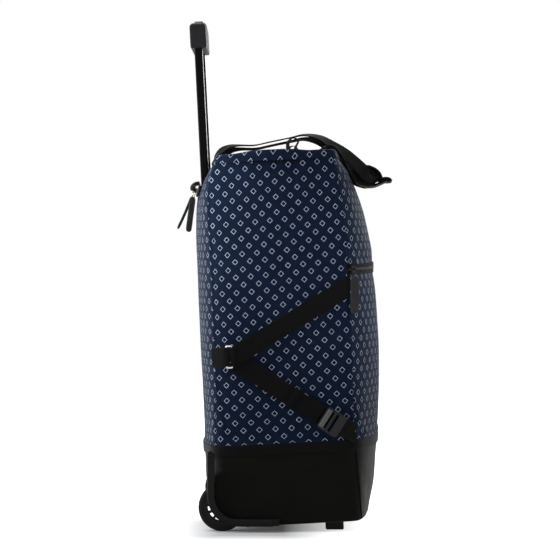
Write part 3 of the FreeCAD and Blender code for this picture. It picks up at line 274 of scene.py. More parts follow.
def soften(piece):
    """One step of subdivision, the same on screen and in a render."""
    sub = piece.modifiers.new("soft", "SUBSURF")
    sub.levels = 1
    sub.render_levels = 1


def round_edges(piece, width, angle):
    bevel = piece.modifiers.new("edges", "BEVEL")
    bevel.width = width
    bevel.segments = 2
    bevel.limit_method = "ANGLE"
    bevel.angle_limit = math.radians(angle)
    bevel.harden_normals = False


def dress(piece, body, slot, materials, *nodes):
    """Finish a piece: what it rides on, its materials and the nodes it stands for. slot is not used."""
    for material in materials:
        piece.data.materials.append(material)
    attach(piece, body)
    if nodes:
        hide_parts(*nodes)
    return piece


def smooth_line(points, count):
    """Evenly spaced points on a smooth curve through some points of any dimension."""
    rows = np.array(points, float)
    padded = np.vstack([2 * rows[0] - rows[1], rows, 2 * rows[-1] - rows[-2]])
    dense = []
    for k in range(len(rows) - 1):
        p0, p1, p2, p3 = padded[k:k + 4]
        for t in np.linspace(0, 1, 24, endpoint=False):
            dense.append(0.5 * (2 * p1 + (p2 - p0) * t + (2 * p0 - 5 * p1 + 4 * p2 - p3) * t**2
                                + (3 * p1 - p0 - 3 * p2 + p3) * t**3))
    dense = np.array(dense + [rows[-1]])
    length = np.concatenate([[0], np.cumsum(np.linalg.norm(np.diff(dense[:, :3], axis=0), axis=1))])
    at = np.linspace(0, length[-1], count)
    return np.column_stack([np.interp(at, length, dense[:, k]) for k in range(rows.shape[1])]), length[-1]


def joined(meshes):
    """One bmesh from several."""
    whole = bmesh.new()
    for bm in meshes:
        part = bpy.data.meshes.new("part")
        bm.to_mesh(part)
        bm.free()
        whole.from_mesh(part)
        bpy.data.meshes.remove(part)
    return whole


def ripple(x, y, z=0.0):
    """Smooth noise from -1 to 1."""
    return noise.noise(Vector((x, y, z)))


# Materials -----------------------------------------------------------------------------------

class Shader:
    """A node tree under construction, with short calls for the nodes used here."""

    def __init__(self, tree):
        self.tree = tree

    def node(self, kind, **settings):
        made = self.tree.nodes.new("ShaderNode" + kind)
        for key, value in settings.items():
            setattr(made, key, value)
        return made

    def feed(self, socket, value):
        if isinstance(value, bpy.types.NodeSocket):
            self.tree.links.new(value, socket)
        else:
            socket.default_value = value

    def math(self, operation, *values):
        made = self.node("Math", operation=operation)
        for socket, value in zip(made.inputs, values):
            self.feed(socket, value)
        return made.outputs[0]

    def vector(self, operation, *values):
        made = self.node("VectorMath", operation=operation)
        for socket, value in zip(made.inputs, values):
            self.feed(socket, value)
        return made.outputs["Value" if operation in ("LENGTH", "DISTANCE", "DOT_PRODUCT") else "Vector"]

    def split(self, vector):
        made = self.node("SeparateXYZ")
        self.feed(made.inputs[0], vector)
        return made.outputs

    def noise(self, vector, scale, detail=2.0, roughness=0.5):
        made = self.node("TexNoise")
        self.feed(made.inputs["Vector"], vector)
        self.feed(made.inputs["Scale"], scale)
        made.inputs["Detail"].default_value = detail
        made.inputs["Roughness"].default_value = roughness
        return made.outputs["Fac"]

    def range(self, value, low, high, to_low=0.0, to_high=1.0):
        made = self.node("MapRange")
        for socket, number in zip(made.inputs, (value, low, high, to_low, to_high)):
            self.feed(socket, number)
        return made.outputs[0]

    def mix(self, share, first, second):
        made = self.node("Mix", data_type="RGBA")
        for socket, value in ((made.inputs[0], share), (made.inputs[6], first), (made.inputs[7], second)):
            self.feed(socket, value)
        return made.outputs[2]

    def bump(self, height, distance, strength=1.0):
        made = self.node("Bump")
        made.inputs["Distance"].default_value = distance
        made.inputs["Strength"].default_value = strength
        self.feed(made.inputs["Height"], height)
        return made.outputs[0]

    def group(self, tree, **values):
        made = self.node("Group", node_tree=tree)
        for key, value in values.items():
            self.feed(made.inputs[key], value)
        return made.outputs


def new_group(name, numbers, outputs):
    """A shader group that reads a vector and some numbers."""
    tree = bpy.data.node_groups.new(name, "ShaderNodeTree")
    tree.interface.new_socket("Place", in_out="INPUT", socket_type="NodeSocketVector")
    for key, value in numbers.items():
        socket = tree.interface.new_socket(key, in_out="INPUT", socket_type="NodeSocketFloat")
        socket.default_value = value
    for key in outputs:
        tree.interface.new_socket(key, in_out="OUTPUT", socket_type="NodeSocketFloat")
    return Shader(tree), tree.nodes.new("NodeGroupInput").outputs, tree.nodes.new("NodeGroupOutput").inputs


def weave_group():
    """Plain woven threads: their height, and a thread by thread change of tone."""
    make, given, out = new_group("woven_threads", {"Thread": 0.5 * MM, "Slub": 0.4}, ["Height", "Tone"])
    scaled = make.vector("DIVIDE", given["Place"], make_vector(make, given["Thread"]))
    x, y = make.split(scaled)[:2]
    over = make.math("MULTIPLY", make.math("SINE", make.math("MULTIPLY", x, math.pi)),
                     make.math("SINE", make.math("MULTIPLY", y, math.pi)))
    make.feed(out["Height"], make.math("MULTIPLY_ADD", over, 0.5, 0.5))
    streaks = make.node("Mapping")
    streaks.inputs["Scale"].default_value = (0.9, 0.02, 1.0)
    make.feed(streaks.inputs["Vector"], scaled)
    warp = make.noise(streaks.outputs[0], 1.0, 1.0)
    streaks = make.node("Mapping")
    streaks.inputs["Scale"].default_value = (0.02, 0.9, 1.0)
    make.feed(streaks.inputs["Vector"], scaled)
    weft = make.noise(streaks.outputs[0], 1.0, 1.0)
    both = make.math("SUBTRACT", make.math("ADD", warp, weft), 1.0)
    make.feed(out["Tone"], make.math("MULTIPLY_ADD", both, given["Slub"], 1.0))
    return make.tree


def make_vector(make, value):
    """One number as a vector of three."""
    made = make.node("CombineXYZ")
    for socket in made.inputs:
        make.feed(socket, value)
    return made.outputs[0]


def squares_group():
    """Outlined squares standing on a corner, at the nodes of a square grid laid the same way."""
    sizes = {"Pitch": PRINT_PITCH, "Size": PRINT_SIZE, "Line": PRINT_LINE}
    make, given, out = new_group("outlined_squares", sizes, ["Ink", "Inside"])
    turned = make.node("Mapping")
    turned.inputs["Rotation"].default_value = (0, 0, math.radians(45))
    make.feed(turned.inputs["Vector"], given["Place"])
    cells = make.vector("DIVIDE", turned.outputs[0], make_vector(make, given["Pitch"]))
    near = make.vector("ABSOLUTE", make.vector("SUBTRACT", make.vector("FRACTION", cells), (0.5, 0.5, 0.5)))
    x, y = make.split(near)[:2]
    reach = make.math("MULTIPLY", make.math("SMOOTH_MAX", x, y, 0.03), given["Pitch"])
    outer = make.math("MULTIPLY", given["Size"], 0.5)
    middle = make.math("SUBTRACT", outer, make.math("MULTIPLY", given["Line"], 0.5))
    away = make.math("ABSOLUTE", make.math("SUBTRACT", reach, middle))
    half = make.math("MULTIPLY", given["Line"], 0.5)
    outside = make.math("MULTIPLY", half, 1.15)
    make.feed(out["Ink"], make.range(away, outside, make.math("MULTIPLY", half, 0.8)))
    make.feed(out["Inside"], make.math("LESS_THAN", reach, middle))
    return make.tree


def stitch_group():
    """A row of stitches along X at one Y: the thread's mask and height."""
    sizes = {"Row": 0.0, "Pitch": 3 * MM, "Thread": 0.45 * MM}
    make, given, out = new_group("stitch_row", sizes, ["Thread", "Height"])
    x, y = make.split(given["Place"])[:2]
    cycle = make.math("SUBTRACT", make.math("FRACT", make.math("DIVIDE", x, given["Pitch"])), 0.5)
    along = make.math("MULTIPLY", make.math("ABSOLUTE", cycle), 2.0)
    off_row = make.math("ABSOLUTE", make.math("SUBTRACT", y, given["Row"]))
    across = make.math("DIVIDE", off_row, given["Thread"])
    round_end = make.math("POWER", make.math("MULTIPLY", along, 1.35), 6.0)
    far = make.math("ADD", make.math("POWER", across, 2.0), round_end)
    make.feed(out["Thread"], make.range(far, 1.1, 0.7))
    dent = make.range(across, 3.5, 0.0)
    dent = make.math("MULTIPLY", dent, 0.6)
    make.feed(out["Height"], make.math("SUBTRACT", make.range(far, 1.2, 0.0), dent))
    return make.tree


def ribs_group():
    """Webbing: slanting ribs that change side column by column."""
    make, given, out = new_group("webbing_ribs", {"Column": 3.0 * MM, "Rib": 1.3 * MM}, ["Height"])
    x, y = make.split(given["Place"])[:2]
    columns = make.math("PINGPONG", y, given["Column"])
    slant = make.math("DIVIDE", make.math("ADD", x, columns), given["Rib"])
    wave = make.math("SINE", make.math("MULTIPLY", slant, 2 * math.pi))
    thread = make.math("SINE", make.math("DIVIDE", y, 0.12 * MM))
    fine = make.math("MULTIPLY_ADD", thread, 0.08, 0.5)
    make.feed(out["Height"], make.math("MULTIPLY_ADD", wave, 0.42, fine))
    return make.tree


def tone_group():
    """Slow uneven tone over a surface, as on handled cloth and moulded plastic."""
    make, given, out = new_group("uneven_tone", {"Size": 60 * MM, "Amount": 0.2}, ["Tone", "Height"])
    scaled = make.vector("DIVIDE", given["Place"], make_vector(make, given["Size"]))
    slow = make.noise(scaled, 1.0, 3.0, 0.55)
    make.feed(out["Height"], slow)
    centred = make.math("SUBTRACT", slow, 0.5)
    make.feed(out["Tone"], make.math("MULTIPLY_ADD", centred, given["Amount"], 1.0))
    return make.tree


WEAVE = weave_group()
SQUARES = squares_group()
STITCHES = stitch_group()
RIBS = ribs_group()
TONE = tone_group()


def blank_tree(owner):
    """The emptied node tree of a material or a world."""
    owner.use_nodes = True
    owner.node_tree.nodes.clear()
    return Shader(owner.node_tree)


def new_material(name, specular=0.15):
    """A material with a Principled shader wired to its output."""
    material = bpy.data.materials.new(name)
    make = blank_tree(material)
    shade = make.node("BsdfPrincipled")
    shade.inputs["Specular IOR Level"].default_value = specular
    out = make.node("OutputMaterial")
    material.node_tree.links.new(shade.outputs[0], out.inputs[0])
    return material, make, shade


def on_cloth(make):
    """Place on the cut cloth, in metres."""
    made = make.node("UVMap")
    made.uv_map = "cloth"
    return made.outputs[0]


def on_object(make):
    return make.node("TexCoord").outputs["Object"]


def tinted(make, colour, tone):
    """A colour made lighter and darker by a tone of about 1."""
    made = make.node("VectorMath", operation="SCALE")
    make.feed(made.inputs[0], colour)
    make.feed(made.inputs["Scale"], tone)
    return made.outputs[0]


def rough(make, shade, height, low, high, reach=(0.2, 0.8)):
    """Let the roughness follow a slow tone between two values."""
    make.feed(shade.inputs["Roughness"], make.range(height, *reach, low, high))


def linear(red, green, blue):
    """A colour written in 0 to 255 display values, for a shader."""
    values = [c / 255 for c in (red, green, blue)]
    return [c / 12.92 if c < 0.04045 else ((c + 0.055) / 1.055)**2.4 for c in values]


def cloth_material(name, colour, thread, roughness, printed=None, sheen=0.05, tone_and_fold_shade=0.15, rows=()):
    """Woven cloth, with a print, stitched rows and a slow uneven tone, partly random and partly painted light and
    shade of soft folds.
    """
    material, make, shade = new_material(name, 0.02)
    place = on_cloth(make)
    weave = make.group(WEAVE, Place=place, Thread=thread)
    # A slow random tone that also lightens and darkens the cloth in broad patches as its folds would: partly
    # painted light and shade.
    slow = make.group(TONE, Place=place, Size=45 * MM, Amount=tone_and_fold_shade)
    tone = make.math("MULTIPLY", weave["Tone"], slow["Tone"])
    shown = tinted(make, colour, tone)
    height = weave["Height"]
    if printed:
        squares = make.group(SQUARES, Place=place, Size=PRINT_SIZE)
        shown = tinted(make, shown, make.range(squares["Inside"], 0, 1, 1.0, 0.86))
        ink_tone = make.math("MULTIPLY", squares["Ink"], make.range(weave["Height"], 0.0, 0.5, 0.86, 1.0))
        shown = make.mix(ink_tone, shown, tinted(make, printed, weave["Tone"]))
    for row in rows:
        stitch = make.group(STITCHES, Place=place, Row=row)
        shown = make.mix(stitch["Thread"], shown, tinted(make, colour, 1.5))
        height = make.math("MULTIPLY_ADD", stitch["Height"], 3.0, height)
    make.feed(shade.inputs["Base Color"], shown)
    rough(make, shade, slow["Height"], roughness - 0.06, roughness + 0.06)
    shade.inputs["Sheen Weight"].default_value = sheen
    shade.inputs["Sheen Roughness"].default_value = 0.45
    make.feed(shade.inputs["Normal"], make.bump(height, 0.12 * MM, 0.7))
    return material


def webbing_material(name, colour):
    """Ribbed webbing with an uneven tone, painted highlights along its edges and on its rib crowns, and painted
    shade in the grooves between the ribs.
    """
    material, make, shade = new_material(name, 0.03)
    place = on_cloth(make)
    ribs = make.group(RIBS, Place=place)
    slow = make.group(TONE, Place=place, Size=25 * MM, Amount=0.25)
    y = make.split(place)["Y"]
    # Lighter along both edges: a painted highlight.
    edge = make.range(make.math("ABSOLUTE", y), 0.43 * WEBBING_WIDTH, 0.5 * WEBBING_WIDTH, 1.0, 1.5)
    column = make.math("SINE", make.math("DIVIDE", y, 0.52 * MM))
    edge = make.math("MULTIPLY", edge, make.math("MULTIPLY_ADD", column, 0.4, 1.0))
    # The colour follows the ribs' height, dark in the grooves and light on the crowns: painted shade and
    # highlight.
    tone = make.math("MULTIPLY", make.math("MULTIPLY", slow["Tone"], edge),
                     make.range(ribs["Height"], 0.0, 1.0, 0.3, 1.6))
    shown = tinted(make, colour, tone)
    make.feed(shade.inputs["Base Color"], shown)
    rough(make, shade, slow["Height"], 0.62 - 0.07, 0.62 + 0.07)
    shade.inputs["Sheen Weight"].default_value = 0.04
    make.feed(shade.inputs["Normal"], make.bump(ribs["Height"], 0.25 * MM, 0.8))
    return material


def moulded_material(name, colour, roughness, grain=0.6 * MM, depth=0.03 * MM, specular=0.1):
    """Moulded plastic or rubber with a fine grain."""
    material, make, shade = new_material(name, specular)
    place = on_object(make)
    slow = make.group(TONE, Place=place, Size=30 * MM, Amount=0.22)
    fine = make.group(TONE, Place=place, Size=grain, Amount=0.1)
    make.feed(shade.inputs["Base Color"], tinted(make, colour, slow["Tone"]))
    rough(make, shade, slow["Height"], roughness - 0.07, roughness + 0.07, (0.25, 0.75))
    make.feed(shade.inputs["Normal"], make.bump(fine["Height"], depth, 1.0))
    return material


def metal_material(name, colour, roughness):
    """Plated metal with a fine grain and uneven shine."""
    material, make, shade = new_material(name)
    place = on_object(make)
    fine = make.group(TONE, Place=place, Size=1.2 * MM, Amount=0.12)
    slow = make.group(TONE, Place=place, Size=12 * MM, Amount=0.15)
    make.feed(shade.inputs["Base Color"], tinted(make, colour, fine["Tone"]))
    shade.inputs["Metallic"].default_value = 1.0
    rough(make, shade, slow["Height"], roughness - 0.06, roughness + 0.08)
    make.feed(shade.inputs["Normal"], make.bump(fine["Height"], 0.01 * MM, 1.0))
    return material


def cord_material(name, colour):
    """Braided cord or a woven pull, with strands wound round it."""
    material, make, shade = new_material(name)
    place = on_cloth(make)
    x, y = make.split(place)[:2]
    wound = make.math("ADD", make.math("DIVIDE", x, 1.9 * MM), make.math("DIVIDE", y, 3.4 * MM))
    strand = make.math("ABSOLUTE", make.math("SINE", make.math("MULTIPLY", wound, math.pi)))
    slow = make.group(TONE, Place=place, Size=8 * MM, Amount=0.3)
    # The colour follows the strands, darker in the grooves between them and lighter on their crowns: painted shade
    # and highlight.
    tone = make.math("MULTIPLY", make.range(strand, 0.0, 0.7, 0.45, 1.25), slow["Tone"])
    make.feed(shade.inputs["Base Color"], tinted(make, colour, tone))
    shade.inputs["Roughness"].default_value = 0.6
    shade.inputs["Sheen Weight"].default_value = 0.15
    make.feed(shade.inputs["Normal"], make.bump(strand, 0.5 * MM, 0.9))
    return material


NAVY = linear(18, 28, 47)
PRINT_BLUE = linear(214, 230, 252)
PRINTED = cloth_material("printed_navy_cloth", NAVY, 0.42 * MM, 0.62, printed=PRINT_BLUE, tone_and_fold_shade=0.5)
LINING = cloth_material("grey_lining", linear(70, 71, 74), 0.25 * MM, 0.55, tone_and_fold_shade=0.3)
BASE_BLACK = cloth_material("coated_black_cloth", linear(19, 19, 17), 0.6 * MM, 0.5, sheen=0.05, tone_and_fold_shade=0.8)
# Near-black cloth for the thin rods under the top hem: painted shade along the hem's lower edge, not a real
# binding.
HEM_SHADE_LINE = cloth_material("painted_hem_shade_line", linear(7, 7, 9), 0.5 * MM, 0.7)
STRAP_BLACK = webbing_material("black_webbing", linear(13, 13, 13))
COIL = moulded_material("zip_coil", linear(44, 41, 38), 0.35, depth=0.01 * MM)
WRAP_PAD = cloth_material("grip_wrap_cloth", linear(10, 10, 11), 0.5 * MM, 0.6, tone_and_fold_shade=0.4)
CORD = cord_material("braided_cord", linear(20, 20, 22))
# The buckle's bar in a much lighter grey than the buckle's own moulding: a painted highlight.
BUCKLE_BAR_HIGHLIGHT = moulded_material("buckle_bar_painted_highlight", linear(66, 66, 64), 0.3, 0.4 * MM, specular=0.4)
HOOD_RUBBER = moulded_material("hood_rubber", linear(14, 14, 15), 0.42)
NODE_FINISHES = {
    "black_plastic": moulded_material("black_moulding", linear(15, 15, 15), 0.42, specular=0.09),
    "buckle_plastic": moulded_material("buckle_moulding", linear(27, 27, 26), 0.34, 0.4 * MM, specular=0.16),
    "grip_plastic": moulded_material("soft_touch_grip", linear(38, 38, 39), 0.6, 0.5 * MM, 0.05 * MM),
    "button_plastic": moulded_material("grey_button", linear(150, 150, 148), 0.5),
    "wheel_plastic": moulded_material("wheel_moulding", linear(22, 22, 23), 0.42),
    "tyre": moulded_material("tyre_rubber", linear(24, 24, 25), 0.68, grain=0.8 * MM, depth=0.06 * MM),
    "black_tube": moulded_material("black_enamel", linear(6, 6, 7), 0.2, 1.5 * MM, 0.004 * MM, 0.04),
    "steel": metal_material("zinc_steel", linear(170, 170, 172), 0.34),
    "nickel": metal_material("nickel", linear(196, 194, 188), 0.22),
    "zip_metal": metal_material("black_nickel", linear(36, 35, 34), 0.3),
    "board": moulded_material("base_board", linear(26, 26, 27), 0.6, grain=2 * MM, depth=0.08 * MM),
    "acetal": moulded_material("acetal", linear(208, 206, 200), 0.45),
    "webbing": STRAP_BLACK,
    "black_cloth": BASE_BLACK,
    "printed_cloth": PRINTED,
}


# The bag's cloth ------------------------------------------------------------------------------

def around(level, distance, inset=0.0):
    """Point and outward direction on the walls, counted round from the rear middle, either way."""
    ring = ring_at(level)
    side = 1
    if distance < 0:
        distance, side = -distance, -1
    if distance > ring.end:
        distance, side = 2 * ring.end - distance, -side
    point, normal = ring.at(distance)
    point -= normal * inset
    return Vector((point.x, side * point.y, level)), Vector((normal.x, side * normal.y, 0))


def side_middle(ring):
    """Distance round to the middle of the side wall."""
    return float(np.interp(MIDWAY, ring.points[:, 0], ring.length))


def cut_place(away, level, front=1, skew=1.0):
    """Where the cloth was cut. Its rows climb towards the front, and its columns fan out a little."""
    ahead = away * front
    climb = math.radians(float(np.interp(level, (0.1, 0.3, 0.5), (0.6, 1.9, 2.8))))
    slip = math.radians(0.9 + 13 * ahead)
    return front * (ahead + skew * (level - 0.3) * math.tan(slip)), level - skew * ahead * math.tan(climb)


def settled(piece, held, cap):
    """Let the cloth of a panel settle under its own weight between the seams that hold it."""
    rest = [v.co.copy() for v in piece.data.vertices]
    group = piece.vertex_groups.new(name="held")
    group.add(held, 1.0, "REPLACE")
    cloth = piece.modifiers.new("cloth", "CLOTH")
    cloth.settings.quality = 6
    cloth.settings.mass = 0.3
    cloth.settings.tension_stiffness = 20
    cloth.settings.compression_stiffness = 20
    cloth.settings.shear_stiffness = 8
    cloth.settings.bending_stiffness = 1.2
    cloth.settings.shrink_min = -EXTRA_CLOTH
    cloth.settings.vertex_group_mass = "held"
    cloth.settings.pin_stiffness = 5
    cloth.settings.effector_weights.gravity = SETTLE_GRAVITY
    cloth.collision_settings.use_collision = False
    cloth.point_cache.frame_start = 1
    cloth.point_cache.frame_end = SETTLE_FRAMES
    scene = bpy.context.scene
    for frame_number in range(1, SETTLE_FRAMES + 1):
        scene.frame_set(frame_number)
    shaped = piece.evaluated_get(bpy.context.evaluated_depsgraph_get()).to_mesh()
    moved = [v.co.copy() for v in shaped.vertices]
    piece.to_mesh_clear()
    piece.modifiers.remove(cloth)
    for v, before, after in zip(piece.data.vertices, rest, moved):
        shift = after - before
        if shift.length > cap:
            shift *= cap / shift.length
        v.co = before + shift
    scene.frame_set(1)


def edge_wave(along, away, seed):
    """How far cloth near a seam is drawn in: it rolls into the seam and puckers along it."""
    roll = 0.7 * MM * math.exp(-(away / (2.4 * MM))**2)
    pucker = 0.45 * MM * math.exp(-away / (10 * MM)) * (1 + ripple(along * 85, seed) * 1.6)
    return roll + pucker


def wall_panel(name, start, end, low, high, middle, seed, front=1, skew=0.3, room=1.0, full=-0.8 * MM):
    """A wall of the bag between two seams and two levels, with its slack and its seams' pull."""
    centre = ring_at((low + high) / 2)
    across = int(abs(end(centre) - start(centre)) / PANEL_STEP)
    down = int((high - low) / PANEL_STEP)

    def shape(s, t):
        level = low + (high - low) * t
        ring = ring_at(level)
        first, last = start(ring), end(ring)
        distance = first + (last - first) * s
        away = min(abs(distance - first), abs(last - distance))
        depth = edge_wave(level, away, seed)
        slack = 1.5 * MM * ripple(distance * 9, level * 6, seed)
        slack += 0.6 * MM * ripple(distance * 26, level * 19, seed)
        fade = min(1.0, (high - level) / (30 * MM), 0.2 + (level - low) / (30 * MM))
        fade *= min(1.0, away / (30 * MM))
        point, normal = around(level, distance, depth)
        return point + normal * (slack * room + full) * fade

    def flat(s, t):
        level = low + (high - low) * t
        ring = ring_at(level)
        first, last = start(ring), end(ring)
        return cut_place(first + (last - first) * s - middle(ring), level, front, skew)

    bm = sheet_mesh(across, down, shape, flat)
    bmesh.ops.recalc_face_normals(bm, faces=bm.faces)
    bm.faces.ensure_lookup_table()
    face = bm.faces[len(bm.faces) // 2]
    outward = face.calc_center_median() - Vector((MIDWAY, 0, face.calc_center_median().z))
    if face.normal.dot(outward) < 0:
        bmesh.ops.reverse_faces(bm, faces=bm.faces)
    held = [v.index for v in bm.verts if v.is_boundary]
    return finished(bm, name), held


def printed_panel(name, node, span, low, high, middle, seed, cap=3.5 * MM, **options):
    """A wall in printed cloth, settled between its seams and lined inside."""
    piece, held = wall_panel(name, *span, low, high, middle, seed, **options)
    settled(piece, held, cap)
    thicken(piece, CLOTH, lining=1)
    soften(piece)
    dress(piece, "trolley", "printed_cloth", [PRINTED, LINING], node)


SEAM_GAP = 0.05 * MM
PANEL_TOP = TOP - 4 * MM
LEFT_SPAN = (lambda ring: ring.rear_seam + SEAM_GAP, lambda ring: ring.front_seam - SEAM_GAP)
RIGHT_SPAN = (lambda ring: -ring.front_seam + SEAM_GAP, lambda ring: -ring.rear_seam - SEAM_GAP)
BACK_SPAN = (lambda ring: -ring.rear_seam + SEAM_GAP, lambda ring: ring.rear_seam - SEAM_GAP)
FRONT_SPAN = (lambda ring: ring.front_seam + SEAM_GAP, lambda ring: 2 * ring.end - ring.front_seam - SEAM_GAP)
printed_panel("side_cloth_left", "side_panel_left", LEFT_SPAN, BAND_TOP, PANEL_TOP,
              side_middle, 4.1, front=1, skew=1.0)
printed_panel("side_cloth_right", "side_panel_right", RIGHT_SPAN, BAND_TOP, PANEL_TOP,
              lambda ring: -side_middle(ring), 2.1, front=-1, skew=1.0)
printed_panel("back_cloth", "back_panel", BACK_SPAN, BAND_TOP, PANEL_TOP,
              lambda ring: 0.0, 7.7, cap=1.5 * MM, room=0.6)
printed_panel("front_cloth", "front_panel", FRONT_SPAN, ZIP_HIGH - 3 * MM, PANEL_TOP,
              lambda ring: ring.end, 9.2, cap=2 * MM, full=4.2 * MM)
printed_panel("pocket_cloth", "pocket_panel", FRONT_SPAN, BAND_TOP, ZIP_LOW + 3 * MM,
              lambda ring: ring.end, 5.4, cap=2 * MM, full=1.8 * MM)


# Hem, top and zips -----------------------------------------------------------------------------

SPLIT = (bag_box("top_flap_back")[1].x + bag_box("top_flap_front")[0].x) / 2
COIL_RISE = 1.6 * MM
FLAP_LEVEL = bag_box("top_flap_back")[1].z - COIL_RISE
WHOLE = (lambda ring: 0.0, lambda ring: 2 * ring.end)
ACROSS_FRONT = (lambda ring: ring.front_seam, lambda ring: 2 * ring.end - ring.front_seam)


def closed(bm):
    """Join a sheet to itself where it meets, and turn its faces outwards."""
    bmesh.ops.remove_doubles(bm, verts=bm.verts, dist=MERGE)
    loose = [edge for edge in bm.edges if edge.is_boundary]
    if loose:
        bmesh.ops.holes_fill(bm, edges=loose, sides=0)
    bmesh.ops.recalc_face_normals(bm, faces=bm.faces)
    return bm


def band_mesh(profile, start, end):
    """A band along the walls. profile gives the places across it as (outward, level)."""
    line, width = smooth_line([(out, level, 0.0) for out, level in profile], BAND_ROWS + 1)
    centre = ring_at(line[BAND_ROWS // 2, 1])
    count = int((end(centre) - start(centre)) / BAND_STEP)

    def shape(s, t):
        out, level = line[int(round(t * BAND_ROWS)), :2]
        ring = ring_at(level)
        return around(level, start(ring) + (end(ring) - start(ring)) * s, -out)[0]

    def flat(s, t):
        return (end(centre) - start(centre)) * s, t * width

    return sheet_mesh(count, BAND_ROWS, shape, flat)


def rod_mesh(points, radius, sides=10, step=None, swell=None):
    """A round rod along a line of points, closed at its ends. swell changes its radius along it."""
    length = smooth_line(points, 2)[1]
    count = max(6, int(length / (step or radius * 1.2)))
    line = smooth_line(points, count + 1)[0]
    runs = np.gradient(line, axis=0)
    side = Vector(runs[0]).orthogonal().normalized()
    frames = []
    for run in runs:
        run = Vector(run).normalized()
        side = (side - run * side.dot(run)).normalized()
        frames.append((side.copy(), run.cross(side)))

    def shape(s, t):
        k = int(round(s * count))
        turn = 2 * math.pi * t
        size = radius * (swell(s * length) if swell else 1.0)
        return Vector(line[k]) + (frames[k][0] * math.cos(turn) + frames[k][1] * math.sin(turn)) * size

    return closed(sheet_mesh(count, sides, shape, lambda s, t: (s * length, t * 2 * math.pi * radius)))


def coil_mesh(points):
    """One side of a zip's coil: a rod that swells at each turn."""
    def swell(at):
        return 0.78 + 0.3 * abs(math.sin(math.pi * at / COIL_PITCH))

    return rod_mesh(points, COIL_RADIUS, 8, COIL_PITCH / 5, swell)


def wall_line(level, start, end, outward):
    """Points along the walls at one level."""
    ring = ring_at(level)
    return [around(level, d, -outward)[0] for d in np.linspace(start(ring), end(ring), 40)]


def hem_bulge(x):
    """How much the top hem stands out at a place, from 0 to 1: most in the middle of the sides."""
    return math.exp(-((x - 105 * MM) / (50 * MM))**4)


def hem(bm, name, slot, material):
    """A closed band of folded cloth round the bag."""
    bmesh.ops.remove_doubles(bm, verts=bm.verts, dist=MERGE)
    bmesh.ops.recalc_face_normals(bm, faces=bm.faces)
    piece = finished(bm, name)
    thicken(piece, HEM_THICKNESS)
    soften(piece)
    dress(piece, "trolley", slot, [material])


def top_hem():
    """The bound edge round the top, in the same cloth, standing a little higher along the sides, with a thin
    near-black rod under its lower edge there as painted shade.
    """
    profile = [(0.2, -14.0), (1.0, -13.4), (1.3, -10.0), (1.2, -5.0), (0.6, -1.8), (-0.8, -0.8), (-2.4, -0.6),
               (-5.0, -0.9), (-7.6, -2.0)]
    bm = band_mesh([(out * MM, TOP + lift * MM) for out, lift in profile], *WHOLE)
    ring = ring_at(TOP - 8 * MM)
    uv = bm.loops.layers.uv["cloth"]
    stretch = 2 * ring.end / max(loop[uv].uv.x for face in bm.faces for loop in face.loops)
    for face in bm.faces:
        about = stretch * sum(loop[uv].uv.x for loop in face.loops) / len(face.loops)
        if about > 2 * ring.end - ring.rear_seam:
            start, middle, front, skew = 2 * ring.end, 0, 1, 0.3
        elif about > 2 * ring.end - ring.front_seam:
            start, middle, front, skew = 2 * ring.end, -side_middle(ring), -1, 1.0
        elif about > ring.front_seam:
            start, middle, front, skew = 0, ring.end, 1, 0.3
        elif about > ring.rear_seam:
            start, middle, front, skew = 0, side_middle(ring), 1, 1.0
        else:
            start, middle, front, skew = 0, 0, 1, 0.3
        for loop in face.loops:
            x, y = loop[uv].uv
            loop[uv].uv = cut_place(x * stretch - start - middle, TOP - 14 * MM + y, front, skew)
    for v in bm.verts:
        share = min(1.0, max(0.0, (v.co.z - TOP + 14 * MM) / (13 * MM)))
        bulge = hem_bulge(v.co.x)
        v.co.z += 4.6 * MM * share * bulge
        v.co.y += math.copysign(1.6 * MM * (1 - share) * bulge, v.co.y)
        for loop in v.link_loops:
            loop[uv].uv.y += 4 * MM * bulge**4
    hem(bm, "top_hem", "printed_cloth", PRINTED)
    # A thin near-black rod under the hem's lower edge on each side stands for the line of shade there: painted
    # shade.
    shade_rods = []
    for sign in SIDES.values():
        points = []
        for x in np.linspace(70 * MM, 148 * MM, 12):
            sink = 13.6 + 0.03 * (x / MM - 70)
            points.append((x, sign * (side_y(x, TOP - 14 * MM) + 1.7 * MM * hem_bulge(x)), TOP - sink * MM))
        shade_rods.append(rod_mesh(points, 0.9 * MM, sides=8, step=3 * MM))
    dress(finished(joined(shade_rods), "top_hem_painted_shade"), "trolley", "printed_cloth", [HEM_SHADE_LINE])


def flap_rise(along, across, hinge):
    """How far a flap's middle stands above its edges."""
    share = min(1.0, abs(along - SPLIT) / abs(hinge - SPLIT))
    return 1.8 * MM * math.sin(math.pi * share)**0.8 * (1 - abs(across / (158 * MM))**6)


